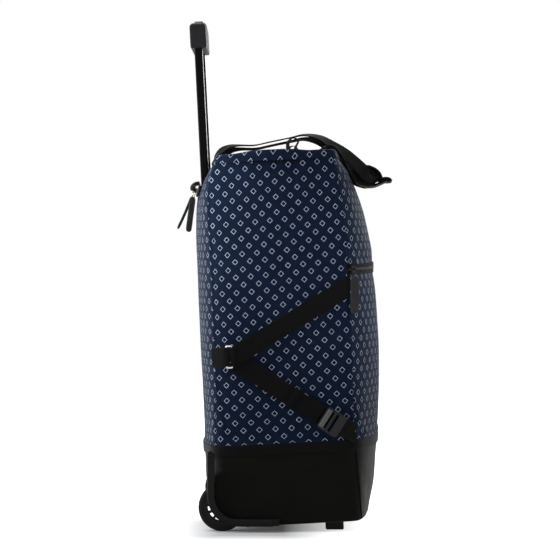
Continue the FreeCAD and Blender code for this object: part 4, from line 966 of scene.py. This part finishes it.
def top_flap(node, facing):
    """One half of the top: cloth, its zip tape and its side of the coil."""
    low, high = bag_box(node)
    hinge = high.x if facing > 0 else low.x
    edge = SPLIT + facing * 3.2 * MM
    seed = 11.0 + facing

    def shape(s, t):
        along = hinge + (edge - hinge) * s
        half = min(high.y, side_y(along, TOP) - FLAP_ROOM)
        across = (2 * t - 1) * half
        slack = 0.5 * MM * ripple(along * 40, across * 22, seed) * math.sin(math.pi * s)
        return Vector((along, across, FLAP_LEVEL + flap_rise(along, across, hinge) + slack - 0.4 * MM))

    bm = sheet_mesh(24, 80, shape, lambda s, t: (s * abs(edge - hinge) + 4 * MM, t * (high.y - low.y)))
    if facing > 0:
        bmesh.ops.reverse_faces(bm, faces=bm.faces)
    cloth = finished(bm, node + "_cloth")
    thicken(cloth, CLOTH, lining=1)
    soften(cloth)
    dress(cloth, node, "printed_cloth", [PRINTED, LINING], node)

    park = high.y - 12 * MM

    def tape_shape(s, t):
        along = SPLIT + facing * (1.3 + 11.5 * s) * MM
        across = (2 * t - 1) * park
        rise = flap_rise(along, across, hinge) + 0.5 * MM - 0.6 * MM * s**4
        return Vector((along, across, FLAP_LEVEL + rise))

    bm = sheet_mesh(6, 80, tape_shape, lambda s, t: (t * 2 * park, s * 11.5 * MM))
    if facing > 0:
        bmesh.ops.reverse_faces(bm, faces=bm.faces)
    tape = finished(bm, node + "_tape")
    thicken(tape, 0.5 * MM)
    dress(tape, node, "black_cloth", [TOP_TAPE])
    middle = SPLIT + facing * 0.95 * MM
    coil = finished(coil_mesh([(middle, y, FLAP_LEVEL + 0.7 * MM) for y in np.linspace(-park, park, 8)]),
                    node + "_coil")
    dress(coil, node, "black_plastic", [COIL])


def wall_zip(name, node, profile, level, ends, lift):
    """A zip along the walls at one level: its tape and its two rows of coil."""
    bm = band_mesh(profile, *ends)
    bmesh.ops.recalc_face_normals(bm, faces=bm.faces)
    tape = finished(bm, name + "_tape")
    thicken(tape, 0.7 * MM)
    dress(tape, "trolley", "black_cloth", [POCKET_TAPE], node)
    coils = [coil_mesh(wall_line(level + shift * MM, *ends, lift)) for shift in (-1.0, 1.0)]
    dress(finished(joined(coils), name + "_coil"), "trolley", "black_plastic", [COIL])


def pocket_zip():
    """The band across the front with the pocket's zip."""
    middle = (ZIP_LOW + ZIP_HIGH) / 2
    half = (ZIP_HIGH - ZIP_LOW) / 2
    flat = [(0.9 * MM, middle + share * half) for share in (-0.9, -0.4, 0, 0.4, 0.9)]
    profile = [(0.1 * MM, ZIP_LOW)] + flat + [(0.1 * MM, ZIP_HIGH)]
    wall_zip("pocket", "pocket_zip_tape", profile, middle, ACROSS_FRONT, 1.5 * MM)


def rear_zip():
    """The zip across the handle's sleeve and the thick moulded hood over its two sliders."""
    low, high = bag_box("back_zip_slider_left")
    level = (low.z + high.z) / 2 - 1 * MM
    reach = bag_box("back_zip_tape")[1].y
    ends = (lambda ring: -reach, lambda ring: reach)
    rows = [(0.1, -9), (0.9, -8), (0.9, -3), (0.9, 3), (0.9, 8), (0.1, 9)]
    rows = [(out * MM, level + lift * MM) for out, lift in rows]
    wall_zip("rear", "back_zip_tape", rows, level, ends, 1.4 * MM)
    profile = [(-2.5, 3.2), (3.0, 2.8), (7.6, 0.8), (11.0, -2.4), (12.4, -6.4), (12.1, -10.4), (10.6, -11.4),
               (9.2, -10.2), (8.6, -6.8), (6.0, -3.9), (1.0, -2.4), (-2.5, -2.4), (-2.5, 3.2)]
    root = around(level, 0.0)[0].x
    points = [(root - out * MM, 0.0, level + (lift + 12.5) * MM) for out, lift in profile]
    line, girth = smooth_line(points, 49)

    def shape(s, t):
        x, z = line[int(round(t * 48)), ::2]
        across = (2 * s - 1) * 25 * MM
        narrow = 1 - 0.25 * max(0.0, abs(2 * s - 1) - 0.85) / 0.15
        return Vector((root + (x - root) * narrow, across, z - (across / MM)**2 * 0.0012 * MM))

    hood = finished(closed(sheet_mesh(20, 48, shape, lambda s, t: (s * 50 * MM, t * girth))), "rear_zip_hood")
    soften(hood)
    dress(hood, "trolley", "black_plastic", [HOOD_RUBBER])


TOP_TAPE = cloth_material("top_zip_tape", linear(18, 18, 20), 0.35 * MM, 0.7, rows=(8 * MM,))
POCKET_TAPE = cloth_material("pocket_zip_tape", linear(11, 11, 12), 0.35 * MM, 0.7, rows=(2.5 * MM, 15 * MM))
top_hem()
top_flap("top_flap_back", -1)
top_flap("top_flap_front", 1)
pocket_zip()
rear_zip()


# Base ------------------------------------------------------------------------------------------

BASE_ROUND = 4.5 * MM
UNDER_MIDDLE = Vector((45 * MM, 45 * MM))
ARCH_INNER = bag_box("wheel_housing_left")[0].y - 0.3 * MM
ARCH_OUTER = bag_box("wheel_housing_left")[1].y + 0.3 * MM


def base_rows():
    """Level, tuck-in and share of the way to the underside's middle, from the hem down."""
    rows = [(level, 0.0, 0.0) for level in np.linspace(BAND_TOP, BOTTOM + BASE_ROUND, 32)]
    for turn in np.radians((18, 36, 54, 72, 90)):
        rows.append((BOTTOM + BASE_ROUND * (1 - math.sin(turn)), BASE_ROUND * (1 - math.cos(turn)), 0.0))
    return rows + [(BOTTOM, BASE_ROUND, share) for share in (0.08, 0.2, 0.4, 0.6, 0.8, 1.0)]


def base_mesh():
    """The coated base: straight sides, a rounded bottom edge and a rear that turns under the wheels."""
    rows = base_rows()
    radius = UNDER_MIDDLE.y - BOTTOM
    middle = ring_at(BAND_TOP)

    def shape(s, t):
        level, tuck, share = rows[int(round(t * (len(rows) - 1)))]
        point, normal = around(level, s * 2 * ring_at(level).end, tuck)
        if level < UNDER_MIDDLE.y:
            drop = min(UNDER_MIDDLE.y - level, radius * 0.9999)
            point.x = max(point.x, UNDER_MIDDLE.x - math.sqrt(radius**2 - drop**2))
        fall = max(0.0, min(1.0, (BAND_TOP - level) / (20 * MM))) * (1 - share)
        slack = 2.0 * MM * ripple(point.x * 13 + level * 9, point.y * 13, level * 12)
        slack += 0.8 * MM * ripple(point.x * 34, point.y * 34, level * 30 + 4)
        point += normal * (slack - 0.9 * MM) * fall
        press = max(0.0, 1 - max(0.0, math.hypot(point.x, level) - ARCH_RADIUS - 1 * MM) / (14 * MM))
        if abs(point.y) > ARCH_INNER + 10 * MM and share == 0:
            out = max(abs(point.y), ARCH_OUTER + 1.7 * MM)
            point.y += math.copysign(out - abs(point.y), point.y) * press**2 * (3 - 2 * press)
        point.x += (MIDWAY - point.x) * share
        point.y *= 1 - share
        return point

    def flat(s, t):
        return s * 2 * middle.end, -t * 0.2

    return closed(sheet_mesh(280, len(rows) - 1, shape, flat))


def without_arches(piece):
    """Cut the slots that the wheels stand in out of a solid. The side walls pass outside them."""
    bm = bmesh.new()
    depth = ARCH_OUTER - ARCH_INNER
    for sign in SIDES.values():
        turn = Matrix.Rotation(math.radians(90), 4, "X")
        place = Matrix.Translation((0, sign * (ARCH_INNER + depth / 2), 0)) @ turn
        bmesh.ops.create_cone(bm, cap_ends=True, segments=96, radius1=ARCH_RADIUS, radius2=ARCH_RADIUS,
                              depth=depth, matrix=place)
    cutter = finished(bm, "arch_cutter")
    cut = piece.modifiers.new("arches", "BOOLEAN")
    cut.operation = "DIFFERENCE"
    cut.solver = "EXACT"
    cut.object = cutter
    shaped = bpy.data.meshes.new_from_object(piece.evaluated_get(bpy.context.evaluated_depsgraph_get()))
    piece.modifiers.remove(cut)
    piece.data = shaped
    bpy.data.objects.remove(cutter)


def base_cloth():
    base = finished(base_mesh(), "base_cloth_shell")
    without_arches(base)
    bm = bmesh.new()
    bm.from_mesh(base.data)
    rim = [face for face in bm.faces if (TO_BAG @ face.calc_center_median()).z > BAND_TOP - 1.5 * MM
           and face.normal.dot(UP) > 0.9]
    bmesh.ops.delete(bm, geom=rim, context="FACES")
    bm.to_mesh(base.data)
    bm.free()
    for face in base.data.polygons:
        face.use_smooth = True
    thicken(base, CLOTH, lining=1)
    dress(base, "trolley", "black_cloth", [BASE_BLACK, LINING], "base_cloth")
    profile = [(0.3, -17.2), (1.1, -16.8), (1.4, -13), (1.4, -5), (1.2, -0.8), (0.2, 0.4), (-0.6, 0.2)]
    bm = band_mesh([(out * MM, BAND_TOP + lift * MM) for out, lift in profile], *WHOLE)
    hem(bm, "base_hem", "black_cloth", BASE_HEM)
    seams = []
    for sign in SIDES.values():
        points = []
        for share in np.linspace(0.1, 0.98, 12):
            level = BAND_TOP + (BOTTOM - BAND_TOP) * share
            seam = ring_at(level).front_seam + 11 * MM * share
            points.append(around(level, sign * seam, 0.1 * MM)[0])
        seams.append(rod_mesh(points, 1.0 * MM))
    dress(finished(joined(seams), "base_seams"), "trolley", "black_cloth", [BASE_HEM])


ARCH_RADIUS = 48.5 * MM
BASE_HEM = cloth_material("base_hem", linear(18, 18, 19), 0.5 * MM, 0.55, sheen=0.05, rows=(3.5 * MM,))
base_cloth()


# Straps ----------------------------------------------------------------------------------------

RING_LOW, RING_HIGH = bag_box("strap_ring_right")
RING_MIDDLE = (RING_LOW + RING_HIGH) / 2
BUCKLE_LOW, BUCKLE_HIGH = bag_box("strap_buckle_left")
BUCKLE = (BUCKLE_LOW + BUCKLE_HIGH) / 2
RING_BAR = 1.5 * MM
STRAP_LIFT = 1.6 * MM


def strap_mesh(stations, width, across=6, step=4 * MM, cuts=()):
    """A flat strap through (place, side) stations in the bag's frame, trimmed at some planes."""
    rows = [(*place, *side) for place, side in stations]
    length = smooth_line(rows, 2)[1]
    count = max(4, int(length / step))
    line, length = smooth_line(rows, count + 1)
    runs = np.gradient(line[:, :3], axis=0)
    sides = []
    for k in range(count + 1):
        run = Vector(runs[k]).normalized()
        side = Vector(line[k, 3:])
        sides.append((side - run * side.dot(run)).normalized())

    def shape(s, t):
        k = min(int(round(s * count)), count)
        return Vector(line[k, :3]) + sides[k] * (t - 0.5) * width

    bm = sheet_mesh(count, across, shape, lambda s, t: (s * length, (t - 0.5) * width))
    for place, outward in cuts:
        parts = bm.verts[:] + bm.edges[:] + bm.faces[:]
        bmesh.ops.bisect_plane(bm, geom=parts, plane_co=place, plane_no=outward, clear_outer=True)
    return bm


def strap(name, meshes, material, thickness=WEBBING, nodes=()):
    """Straps with their thickness and rounded edges."""
    piece = finished(joined(meshes), name)
    thicken(piece, thickness, offset=0)
    round_edges(piece, 0.45 * MM, 60)
    dress(piece, "trolley", "webbing", [material], *nodes)


def mirrored(stations, sign):
    """Stations on the +Y side, or their mirror image."""
    return [((x, sign * y, z), (a, sign * b, c)) for (x, y, z), (a, b, c) in stations]


def on_side_wall(start, end, y_start, y_end, lift=0.0, count=14):
    """Stations of a strap drawn tight over the +Y side wall between two (x, z) places."""
    slope = Vector((end[0] - start[0], 0, end[1] - start[1])).normalized()
    side = (-slope.z, 0, slope.x)
    stations = []
    for share in np.linspace(0, 1, count):
        x = start[0] + (end[0] - start[0]) * share
        z = start[1] + (end[1] - start[1]) * share
        y = max(y_start + (y_end - y_start) * share, side_y(x, z) + STRAP_LIFT)
        stations.append(((x, y + lift, z), side))
    return stations


def seam_cut(level):
    """Where a strap goes into the front seam."""
    ring = ring_at(level)
    x = ring.at(ring.front_seam)[0].x
    return (x - 0.3 * MM, 0, level), (1, 0, -0.06)


def round_bar(x, reach):
    """Webbing folded round one of the ring's upright bars, from the wall and back towards it."""
    y = -RING_MIDDLE.y
    wall = side_y(x, RING_MIDDLE.z)
    turn = RING_BAR + WEBBING / 2 + 0.2 * MM
    away = 1 if reach > x else -1
    places = [(reach, wall + 1.2 * MM), (x + away * 5 * MM, wall + 1.5 * MM), (x, y - turn),
              (x - away * turn, y), (x, y + turn), (x + away * 5 * MM, y + turn), (reach, wall + 3.3 * MM)]
    return [((px, py, RING_MIDDLE.z), (0, 0, 1)) for px, py in places]


def side_straps():
    """On each side: the strap through the ring, its tail, and the tabs of the ring and the buckle."""
    ring_x, ring_z = RING_MIDDLE.x, RING_MIDDLE.z
    front_bar = RING_HIGH.x - RING_BAR
    rear_bar = RING_LOW.x + RING_BAR
    seam = ring_at(0.34).at(ring_at(0.34).front_seam)[0].x
    slope = Vector((BUCKLE.x - ring_x, 0, BUCKLE.z - ring_z))
    ring_y = -RING_MIDDLE.y
    under = BUCKLE_LOW.y - 1.0 * MM
    fold = ((front_bar + 0.2 * MM, 0, 0), (-1, 0, 0))
    for side, sign in SIDES.items():
        rise = 108 * MM / (seam + 10 * MM - front_bar)
        start = front_bar - 12 * MM
        upper = on_side_wall((start, ring_z - 15 * MM * rise), (seam + 10 * MM, ring_z + 108 * MM),
                             ring_y + 2.8 * MM, side_y(seam, ring_z + 100 * MM) - 1 * MM, count=18)
        lower = on_side_wall((front_bar - 4 * MM, ring_z - 1 * MM), (BUCKLE.x, BUCKLE.z),
                             ring_y - 2.6 * MM, under)
        tail = [0.60, 0.885]
        ends = [(ring_x + slope.x * share, ring_z + slope.z * share) for share in tail + [0.655]]
        over = on_side_wall(ends[0], ends[1], under, under, WEBBING)
        hem = on_side_wall(ends[0], ends[2], under, under, 2 * WEBBING)
        meshes = [
            strap_mesh(mirrored(upper, sign), WEBBING_WIDTH, cuts=[fold, seam_cut(ring_z + 100 * MM)]),
            strap_mesh(mirrored(lower, sign), WEBBING_WIDTH, cuts=[fold]),
            strap_mesh(mirrored(over, sign), WEBBING_WIDTH),
            strap_mesh(mirrored(hem, sign), WEBBING_WIDTH),
            strap_mesh(mirrored(round_bar(front_bar, front_bar + 12 * MM), sign), WEBBING_WIDTH,
                       step=1.2 * MM),
        ]
        strap("side_strap_webbing_" + side, meshes, STRAP_BLACK, nodes=["side_strap_" + side])
        begin = Vector((BUCKLE.x, 0, BUCKLE.z)) + slope.normalized() * 6 * MM
        front = on_side_wall((begin.x, begin.z), (seam + 10 * MM, BUCKLE.z - 25 * MM), under, under - 5 * MM)
        ring = ring_at(RING_MIDDLE.z)
        rear_seam = ring.at(ring.rear_seam)[0].x
        meshes = [
            strap_mesh(mirrored(round_bar(rear_bar, rear_seam - 1 * MM), sign), WEBBING_WIDTH, step=1.2 * MM),
            strap_mesh(mirrored(front, sign), WEBBING_WIDTH, cuts=[seam_cut(BUCKLE.z - 20 * MM)]),
        ]
        nodes = ["strap_tabs"] if sign > 0 else []
        strap("strap_tabs_" + side, meshes, STRAP_RIBBED, nodes=nodes)
        # The buckle's ribbed bar, coloured lighter than the buckle as a painted highlight.
        dress(buckle_grip(side, slope.normalized()), "trolley", "buckle_plastic", [BUCKLE_BAR_HIGHLIGHT])


def buckle_grip(side, along):
    """The ribbed bar on the buckle's near end, where a thumb tips it to let the strap run."""
    node = "strap_buckle_" + side
    low, high = bag_box(node)
    middle = (low + high) / 2
    face = high.y if side == "left" else low.y
    reach = max((TO_BAG @ v.co - middle).dot(-along) for v in frame["nodes"][node].data.vertices)
    across = Vector((-along.z, 0, along.x))
    centre = middle - along * (reach - 6 * MM)
    points = []
    for share in np.linspace(-15.5 * MM, 15.5 * MM, 7):
        place = centre + across * share
        points.append((place.x, face, place.z))
    bm = rod_mesh(points, 3.9 * MM, 14, 0.5 * MM, lambda at: 1 + 0.05 * math.sin(at / MM * 2.1))
    for v in bm.verts:
        v.co.y = face + (v.co.y - face) * 0.42
    return finished(bm, "buckle_grip_" + side)


def leg_stations(route, y):
    """Stations of a carry strap's leg on the right. Its outer edge hangs lower by the twist."""
    xs, zs = np.array(route)[:, 0], np.array(route)[:, 1]
    dx, dz = np.gradient(xs), np.gradient(zs)
    stations = []
    for x, z, run_x, run_z, twist in zip(xs, zs, dx, dz, (row[2] for row in route)):
        size = math.hypot(run_x, run_z)
        turn = math.radians(twist)
        side = (run_z / size * math.sin(turn), -math.cos(turn), -run_x / size * math.sin(turn))
        stations.append(((x * MM, y, z * MM), side))
    return stations


def whole_strap(leg, core):
    """A carry strap: the right leg, the stretch gathered in the wrap, and the left leg."""
    half = leg + core
    other = [((x, -y, z), (a, -b, c)) for (x, y, z), (a, b, c) in reversed(half)]
    return half + other[1:]


def carry_strap(name, node, route, core, middle):
    """One carry strap, from its route up the leg and its core's places about the wrap's middle."""
    held = [((middle.x + x * MM, y * MM, middle.z + z * MM), side) for (x, y, z), side in core]
    mesh = strap_mesh(whole_strap(leg_stations(route, LEG_Y), held), LEG_WIDTH)
    strap(name, [mesh], STRAP_BLACK, thickness=LEG_THICKNESS, nodes=[node])


def carry_straps():
    """The two carry straps, sprung from the top's rear and front edges and gathered in the wrap."""
    wrap = (bag_box("grip_wrap")[0] + bag_box("grip_wrap")[1]) / 2
    middle = Vector((wrap.x - 7 * MM, 0, wrap.z))
    root = around(TOP - 7 * MM, 75 * MM, -1.5 * MM)[0].x / MM
    top = TOP / MM
    route = [(root + 1.5, top - 7, 4), (root + 5, top + 1, 12), (26, top + 9.5, 20), (39, top + 15, 12),
             (55, top + 16, 5), (79, top + 15, 3), (104, top + 19, 2), (136, top + 24, 3),
             (161, top + 27.5, 7), (185, top + 21.5, 18), (203, top + 9.5, 29), (224, top - 6, 37),
             (242, top - 24, 44), (252, top - 35, 50)]
    core = [((-2, -73, 4), (-0.3, -0.35, -0.85)), ((0, -66, 2), (0.3, -0.15, -0.9)),
            ((0, -52, 3), (0.85, 0, -0.5)), ((0, 0, 3), (0.9, 0, -0.42))]
    carry_strap("carry_strap_rear", "carry_strap_back", route, core, middle)
    front = around(TOP - 4 * MM, ring_at(TOP).end, 0)[0].x / MM - 2.5
    route = [(front - 28, top + 1, 0), (front - 14, top + 7.5, 4), (front - 4, top + 8.5, 6),
             (front + 5, top + 0.5, 8), (front + 15, top - 14, 14),
             (front + 25, top - 29, 30), (front + 33, top - 41, 45)]
    core = [((-8, -68, -3), (-0.1, -0.45, -0.9)), ((-3, -60, -5), (0.4, -0.25, -0.85)),
            ((-1, -48, -4), (0.85, 0, -0.5)), ((-1, 0, -4), (0.9, 0, -0.42))]
    carry_strap("carry_strap_front_webbing", "carry_strap_front", route, core, middle)
    return middle


def grip_wrap(middle):
    """The padded cuff rolled round both straps, its closing end folded back on itself."""
    tilt = math.radians(-25)
    turn = [(24, 5.6), (30, 8.6), (35.5, 9.6), (38, 7.6), (36, 5.4), (30, 3.6), (23, -3.6), (14, -11.6),
            (3, -15.6), (-9, -15.0), (-18, -10.8), (-22.4, -3.4), (-21.6, 5.0), (-15, 12.0), (-5, 15.8),
            (6, 15.6), (15, 12.2), (21, 6.4), (22.8, 0.6)]
    line, girth = smooth_line([(p, q, 0.0) for p, q in turn], 73)
    reach = bag_box("grip_wrap")[1].y

    def shape(s, t):
        p, q = line[int(round(s * 72)), :2] * MM
        across = (2 * t - 1) * reach
        swell = 1 + 0.035 * math.cos(across / reach * math.pi) + 0.03 * ripple(s * 7, across * 60, 2.0)
        pinch = 1 - 0.05 * abs(2 * t - 1)**8
        p, q = p * swell * pinch, q * swell * pinch
        x = p * math.cos(tilt) - q * math.sin(tilt)
        z = p * math.sin(tilt) + q * math.cos(tilt)
        return middle + Vector((x, across, z))

    stuffing = []
    for p, q in ((-9, 2), (2, -4), (11, 3), (0, 6)):
        x = p * MM * math.cos(tilt) - q * MM * math.sin(tilt)
        z = p * MM * math.sin(tilt) + q * MM * math.cos(tilt)
        along = np.linspace(-0.93, 0.93, 9)
        points = [middle + Vector((x + 1 * MM * math.sin(k * 2 + p), y * reach, z))
                  for k, y in enumerate(along)]
        stuffing.append(rod_mesh(points, 8.2 * MM, sides=14, step=6 * MM))
    dress(finished(joined(stuffing), "gathered_webbing"), "trolley", "webbing", [STRAP_BLACK])
    bm = sheet_mesh(72, 56, shape, lambda s, t: (s * girth * MM, t * 2 * reach))
    bmesh.ops.recalc_face_normals(bm, faces=bm.faces)
    wrap = finished(bm, "grip_wrap_cuff")
    thicken(wrap, 3.4 * MM, offset=0)
    soften(wrap)
    dress(wrap, "trolley", "black_cloth", [WRAP_PAD], "grip_wrap")


def side_loops():
    """The small standing loops at the top of each side."""
    foot = bag_box("side_loops")[0].x + 1 * MM
    base = TOP - 11 * MM
    route = [(0, 7, 32), (0, 15, 34), (1.2, 25, 30), (9, 31, 15), (17, 26.5, 14), (13, 17.5, 18), (9, 10, 20),
             (8.5, 7, 20)]
    meshes = []
    for sign in SIDES.values():
        stations = []
        for x, z, turned in route:
            along, level = foot + x * MM, base + z * MM
            y = side_y(along, TOP) - 3 * MM
            side = (math.sin(math.radians(turned)), sign * math.cos(math.radians(turned)), 0)
            stations.append(((along, sign * y, level), side))
        meshes.append(strap_mesh(stations, 9.5 * MM, across=4, step=1.5 * MM))
    strap("side_loop_webbing", meshes, STRAP_BLACK, thickness=1.3 * MM, nodes=["side_loops"])


def pull_place(node, joint):
    """Where a pull hangs: its pin, the way down it, the way across its tab and how far it reaches."""
    pin = TO_BAG @ Vector(JOINTS[joint]["pos_m"])
    points = np.array([TO_BAG @ v.co for v in frame["nodes"][node].data.vertices]) - np.array(pin)
    far = np.linalg.norm(points, axis=1)
    end = points[far > 0.85 * far.max()]
    run = Vector(end.mean(0)).normalized()
    first = run.orthogonal().normalized()
    turns = [(Matrix.Rotation(math.radians(k * 5), 3, run) @ first) for k in range(36)]
    across = max(turns, key=lambda way: np.ptp(end @ np.array(way)))
    shift = float((end @ np.array(across)).max() + (end @ np.array(across)).min()) / 2
    return pin, run, across, float((end @ np.array(run)).max()), shift


def zip_pull(node, joint, body, width=10 * MM, metal="zip_metal"):
    """A wire link and a folded tab of braided webbing."""
    thickness = 3.4 * MM
    pin, run, across, reach, shift = pull_place(node, joint)
    face = run.cross(across)
    wire = [(-2.5, 0), (-2.6, 4), (-2.2, 8), (-1.6, 12.5), (0, 14), (1.6, 12.5), (2.2, 8), (2.6, 4), (2.5, 0)]
    points = [pin + across * p * MM + run * q * MM for p, q in wire]
    meshes = [rod_mesh(points, 0.8 * MM), rod_mesh([points[0], points[-1]], 0.8 * MM)]
    link = finished(joined(meshes), node + "_link")
    dress(link, body, metal, [NODE_FINISHES[metal]])
    start = 10.5 * MM
    length = reach - start

    def shape(s, t):
        far = abs(2 * t - 1)
        full = (1 - far**14)**0.5
        neck = 0.72 + 0.28 * min(1.0, t / 0.12)
        turn = 2 * math.pi * s
        wide, thick = math.cos(turn), math.sin(turn)
        wide = math.copysign(abs(wide)**0.6, wide) * width / 2 * full * neck
        thick = math.copysign(abs(thick)**0.8, thick) * thickness / 2 * full
        bend = 0.8 * MM * math.sin(math.pi * t)
        return pin + run * (start + length * t) + across * (wide + shift) + face * (thick + bend)

    bm = closed(sheet_mesh(20, 44, shape, lambda s, t: (t * length, s * 2 * (width + thickness))))
    tab = finished(bm, node + "_tab")
    dress(tab, body, "webbing", [CORD], node)


def pulls():
    zip_pull("main_zip_pull", "main_zip_pull_lift", "main_zip_pull")
    zip_pull("pocket_zip_pull", "pocket_zip_pull_swing", "pocket_zip_pull", width=13.5 * MM)
    for side in SIDES:
        node = "back_zip_pull_" + side
        zip_pull(node, "back_zip_pull_swing_" + side, node, metal="nickel")


STRAP_RIBBED = webbing_material("ribbed_tab_webbing", linear(24, 23, 22))
side_straps()
grip_wrap(carry_straps())
side_loops()
pulls()


# Stage ---------------------------------------------------------------------------------------

SLOTS = {part["node"]: part["material_slot"] for part in frame["record"]["subparts"]}
for node, piece in frame["nodes"].items():
    piece.data.materials.clear()
    piece.data.materials.append(NODE_FINISHES[SLOTS[node]])


def seen_directly(make):
    """A mask of what the camera sees, straight, mirrored or through something."""
    path = make.node("LightPath")
    seen = make.math("MAXIMUM", path.outputs["Is Camera Ray"], path.outputs["Is Glossy Ray"])
    return make.math("MAXIMUM", seen, path.outputs["Is Transmission Ray"])


def floor_material():
    """A pale floor that the camera and reflections see as white, apart from the object's shadow. Near the object
    its colour is also made darker, a painted shadow.
    """
    material = bpy.data.materials.new("pale_floor")
    make = blank_tree(material)
    matt = make.node("BsdfDiffuse")
    matt.inputs["Color"].default_value = (0.86, 0.86, 0.86, 1)
    lift = make.node("Emission")
    place = make.vector("ADD", on_object(make), (0.055, 0.13, 0))
    outside = make.vector("SUBTRACT", make.vector("ABSOLUTE", place), (0.05, 0.08, 0))
    away = make.vector("LENGTH", make.vector("MAXIMUM", outside, (0, 0, 0)))
    make.feed(lift.inputs["Strength"], make.range(away, 0.0, 0.13, 0.06, 1.0))
    # Near the object this floor's colour falls from 0.86 to 0.6: a painted shadow under and beside the object.
    near = make.node("BsdfDiffuse")
    make.feed(near.inputs["Color"], make_vector(make, make.range(away, 0.0, 0.08, 0.6, 0.86)))
    both = make.node("AddShader")
    make.feed(both.inputs[0], near.outputs[0])
    make.feed(both.inputs[1], lift.outputs[0])
    pick = make.node("MixShader")
    make.feed(pick.inputs[0], seen_directly(make))
    make.feed(pick.inputs[1], matt.outputs[0])
    make.feed(pick.inputs[2], both.outputs[0])
    out = make.node("OutputMaterial")
    make.feed(out.inputs[0], pick.outputs[0])
    return material


bm = bmesh.new()
bmesh.ops.create_grid(bm, x_segments=1, y_segments=1, size=4.0)
floor = finished(bm, "floor", in_bag=False, smooth=False)
floor.data.materials.append(floor_material())
floor.data.transform(Matrix.Translation((0, 0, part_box("front_foot_left")[0].z - 0.2 * MM)))

world = bpy.data.worlds.new("studio")
make = blank_tree(world)
seen = seen_directly(make)
back = make.node("Background")
make.feed(back.inputs["Color"], make.mix(seen, (0.85, 0.86, 0.87, 1), (1, 1, 1, 1)))
make.feed(back.inputs["Strength"], make.range(seen, 0, 1, 0.16, 1.0))
out = make.node("OutputWorld")
make.feed(out.inputs[0], back.outputs[0])
bpy.context.scene.world = world


def soft_light(name, place, aim, size, power, colour=(1, 1, 1), spread=180):
    light = bpy.data.lights.new(name, "AREA")
    light.shape = "RECTANGLE"
    light.size, light.size_y = size
    light.energy = power
    light.color = colour
    light.spread = math.radians(spread)
    lamp = bpy.data.objects.new(name, light)
    lamp.location = place
    lamp.rotation_euler = (Vector(aim) - Vector(place)).to_track_quat("-Z", "Y").to_euler()
    bpy.context.scene.collection.objects.link(lamp)


soft_light("rear_softbox", (-2.1, -0.45, 1.2), (0, 0, 0.35), (0.9, 1.6), 42, (0.94, 0.97, 1.0))
soft_light("front_softbox", (2.1, -1.0, 0.7), (0, 0, 0.35), (0.9, 1.2), 8)
soft_light("top_softbox", (-1.1, -0.2, 2.2), (0, 0, 0.3), (1.6, 1.2), 20)
soft_light("fill", (0.2, -3.4, 1.3), (0, 0, 0.35), (2.0, 1.2), 2.4)
soft_light("rear_side_light", (-0.75, -1.15, 1.15), (-0.24, -0.15, 0.56), (0.2, 0.2), 0.42,
           (0.94, 0.97, 1.0), 22)
soft_light("front_side_light", (0.95, -1.2, 0.8), (0.24, -0.15, 0.42), (0.2, 0.2), 0.2, (1, 1, 1), 22)
soft_light("far_softbox", (0.7, 2.7, 1.2), (0, 0, 0.35), (1.8, 1.4), 22)

lens = bpy.data.cameras.new("camera")
lens.lens = 147.5
lens.sensor_width = 36
camera = bpy.data.objects.new("camera", lens)
camera.location = (0, -3.785, 0.461)
camera.rotation_euler = (math.radians(89), 0, math.radians(0.125))
bpy.context.scene.collection.objects.link(camera)
bpy.context.scene.camera = camera
bpy.context.scene.view_settings.view_transform = "Standard"
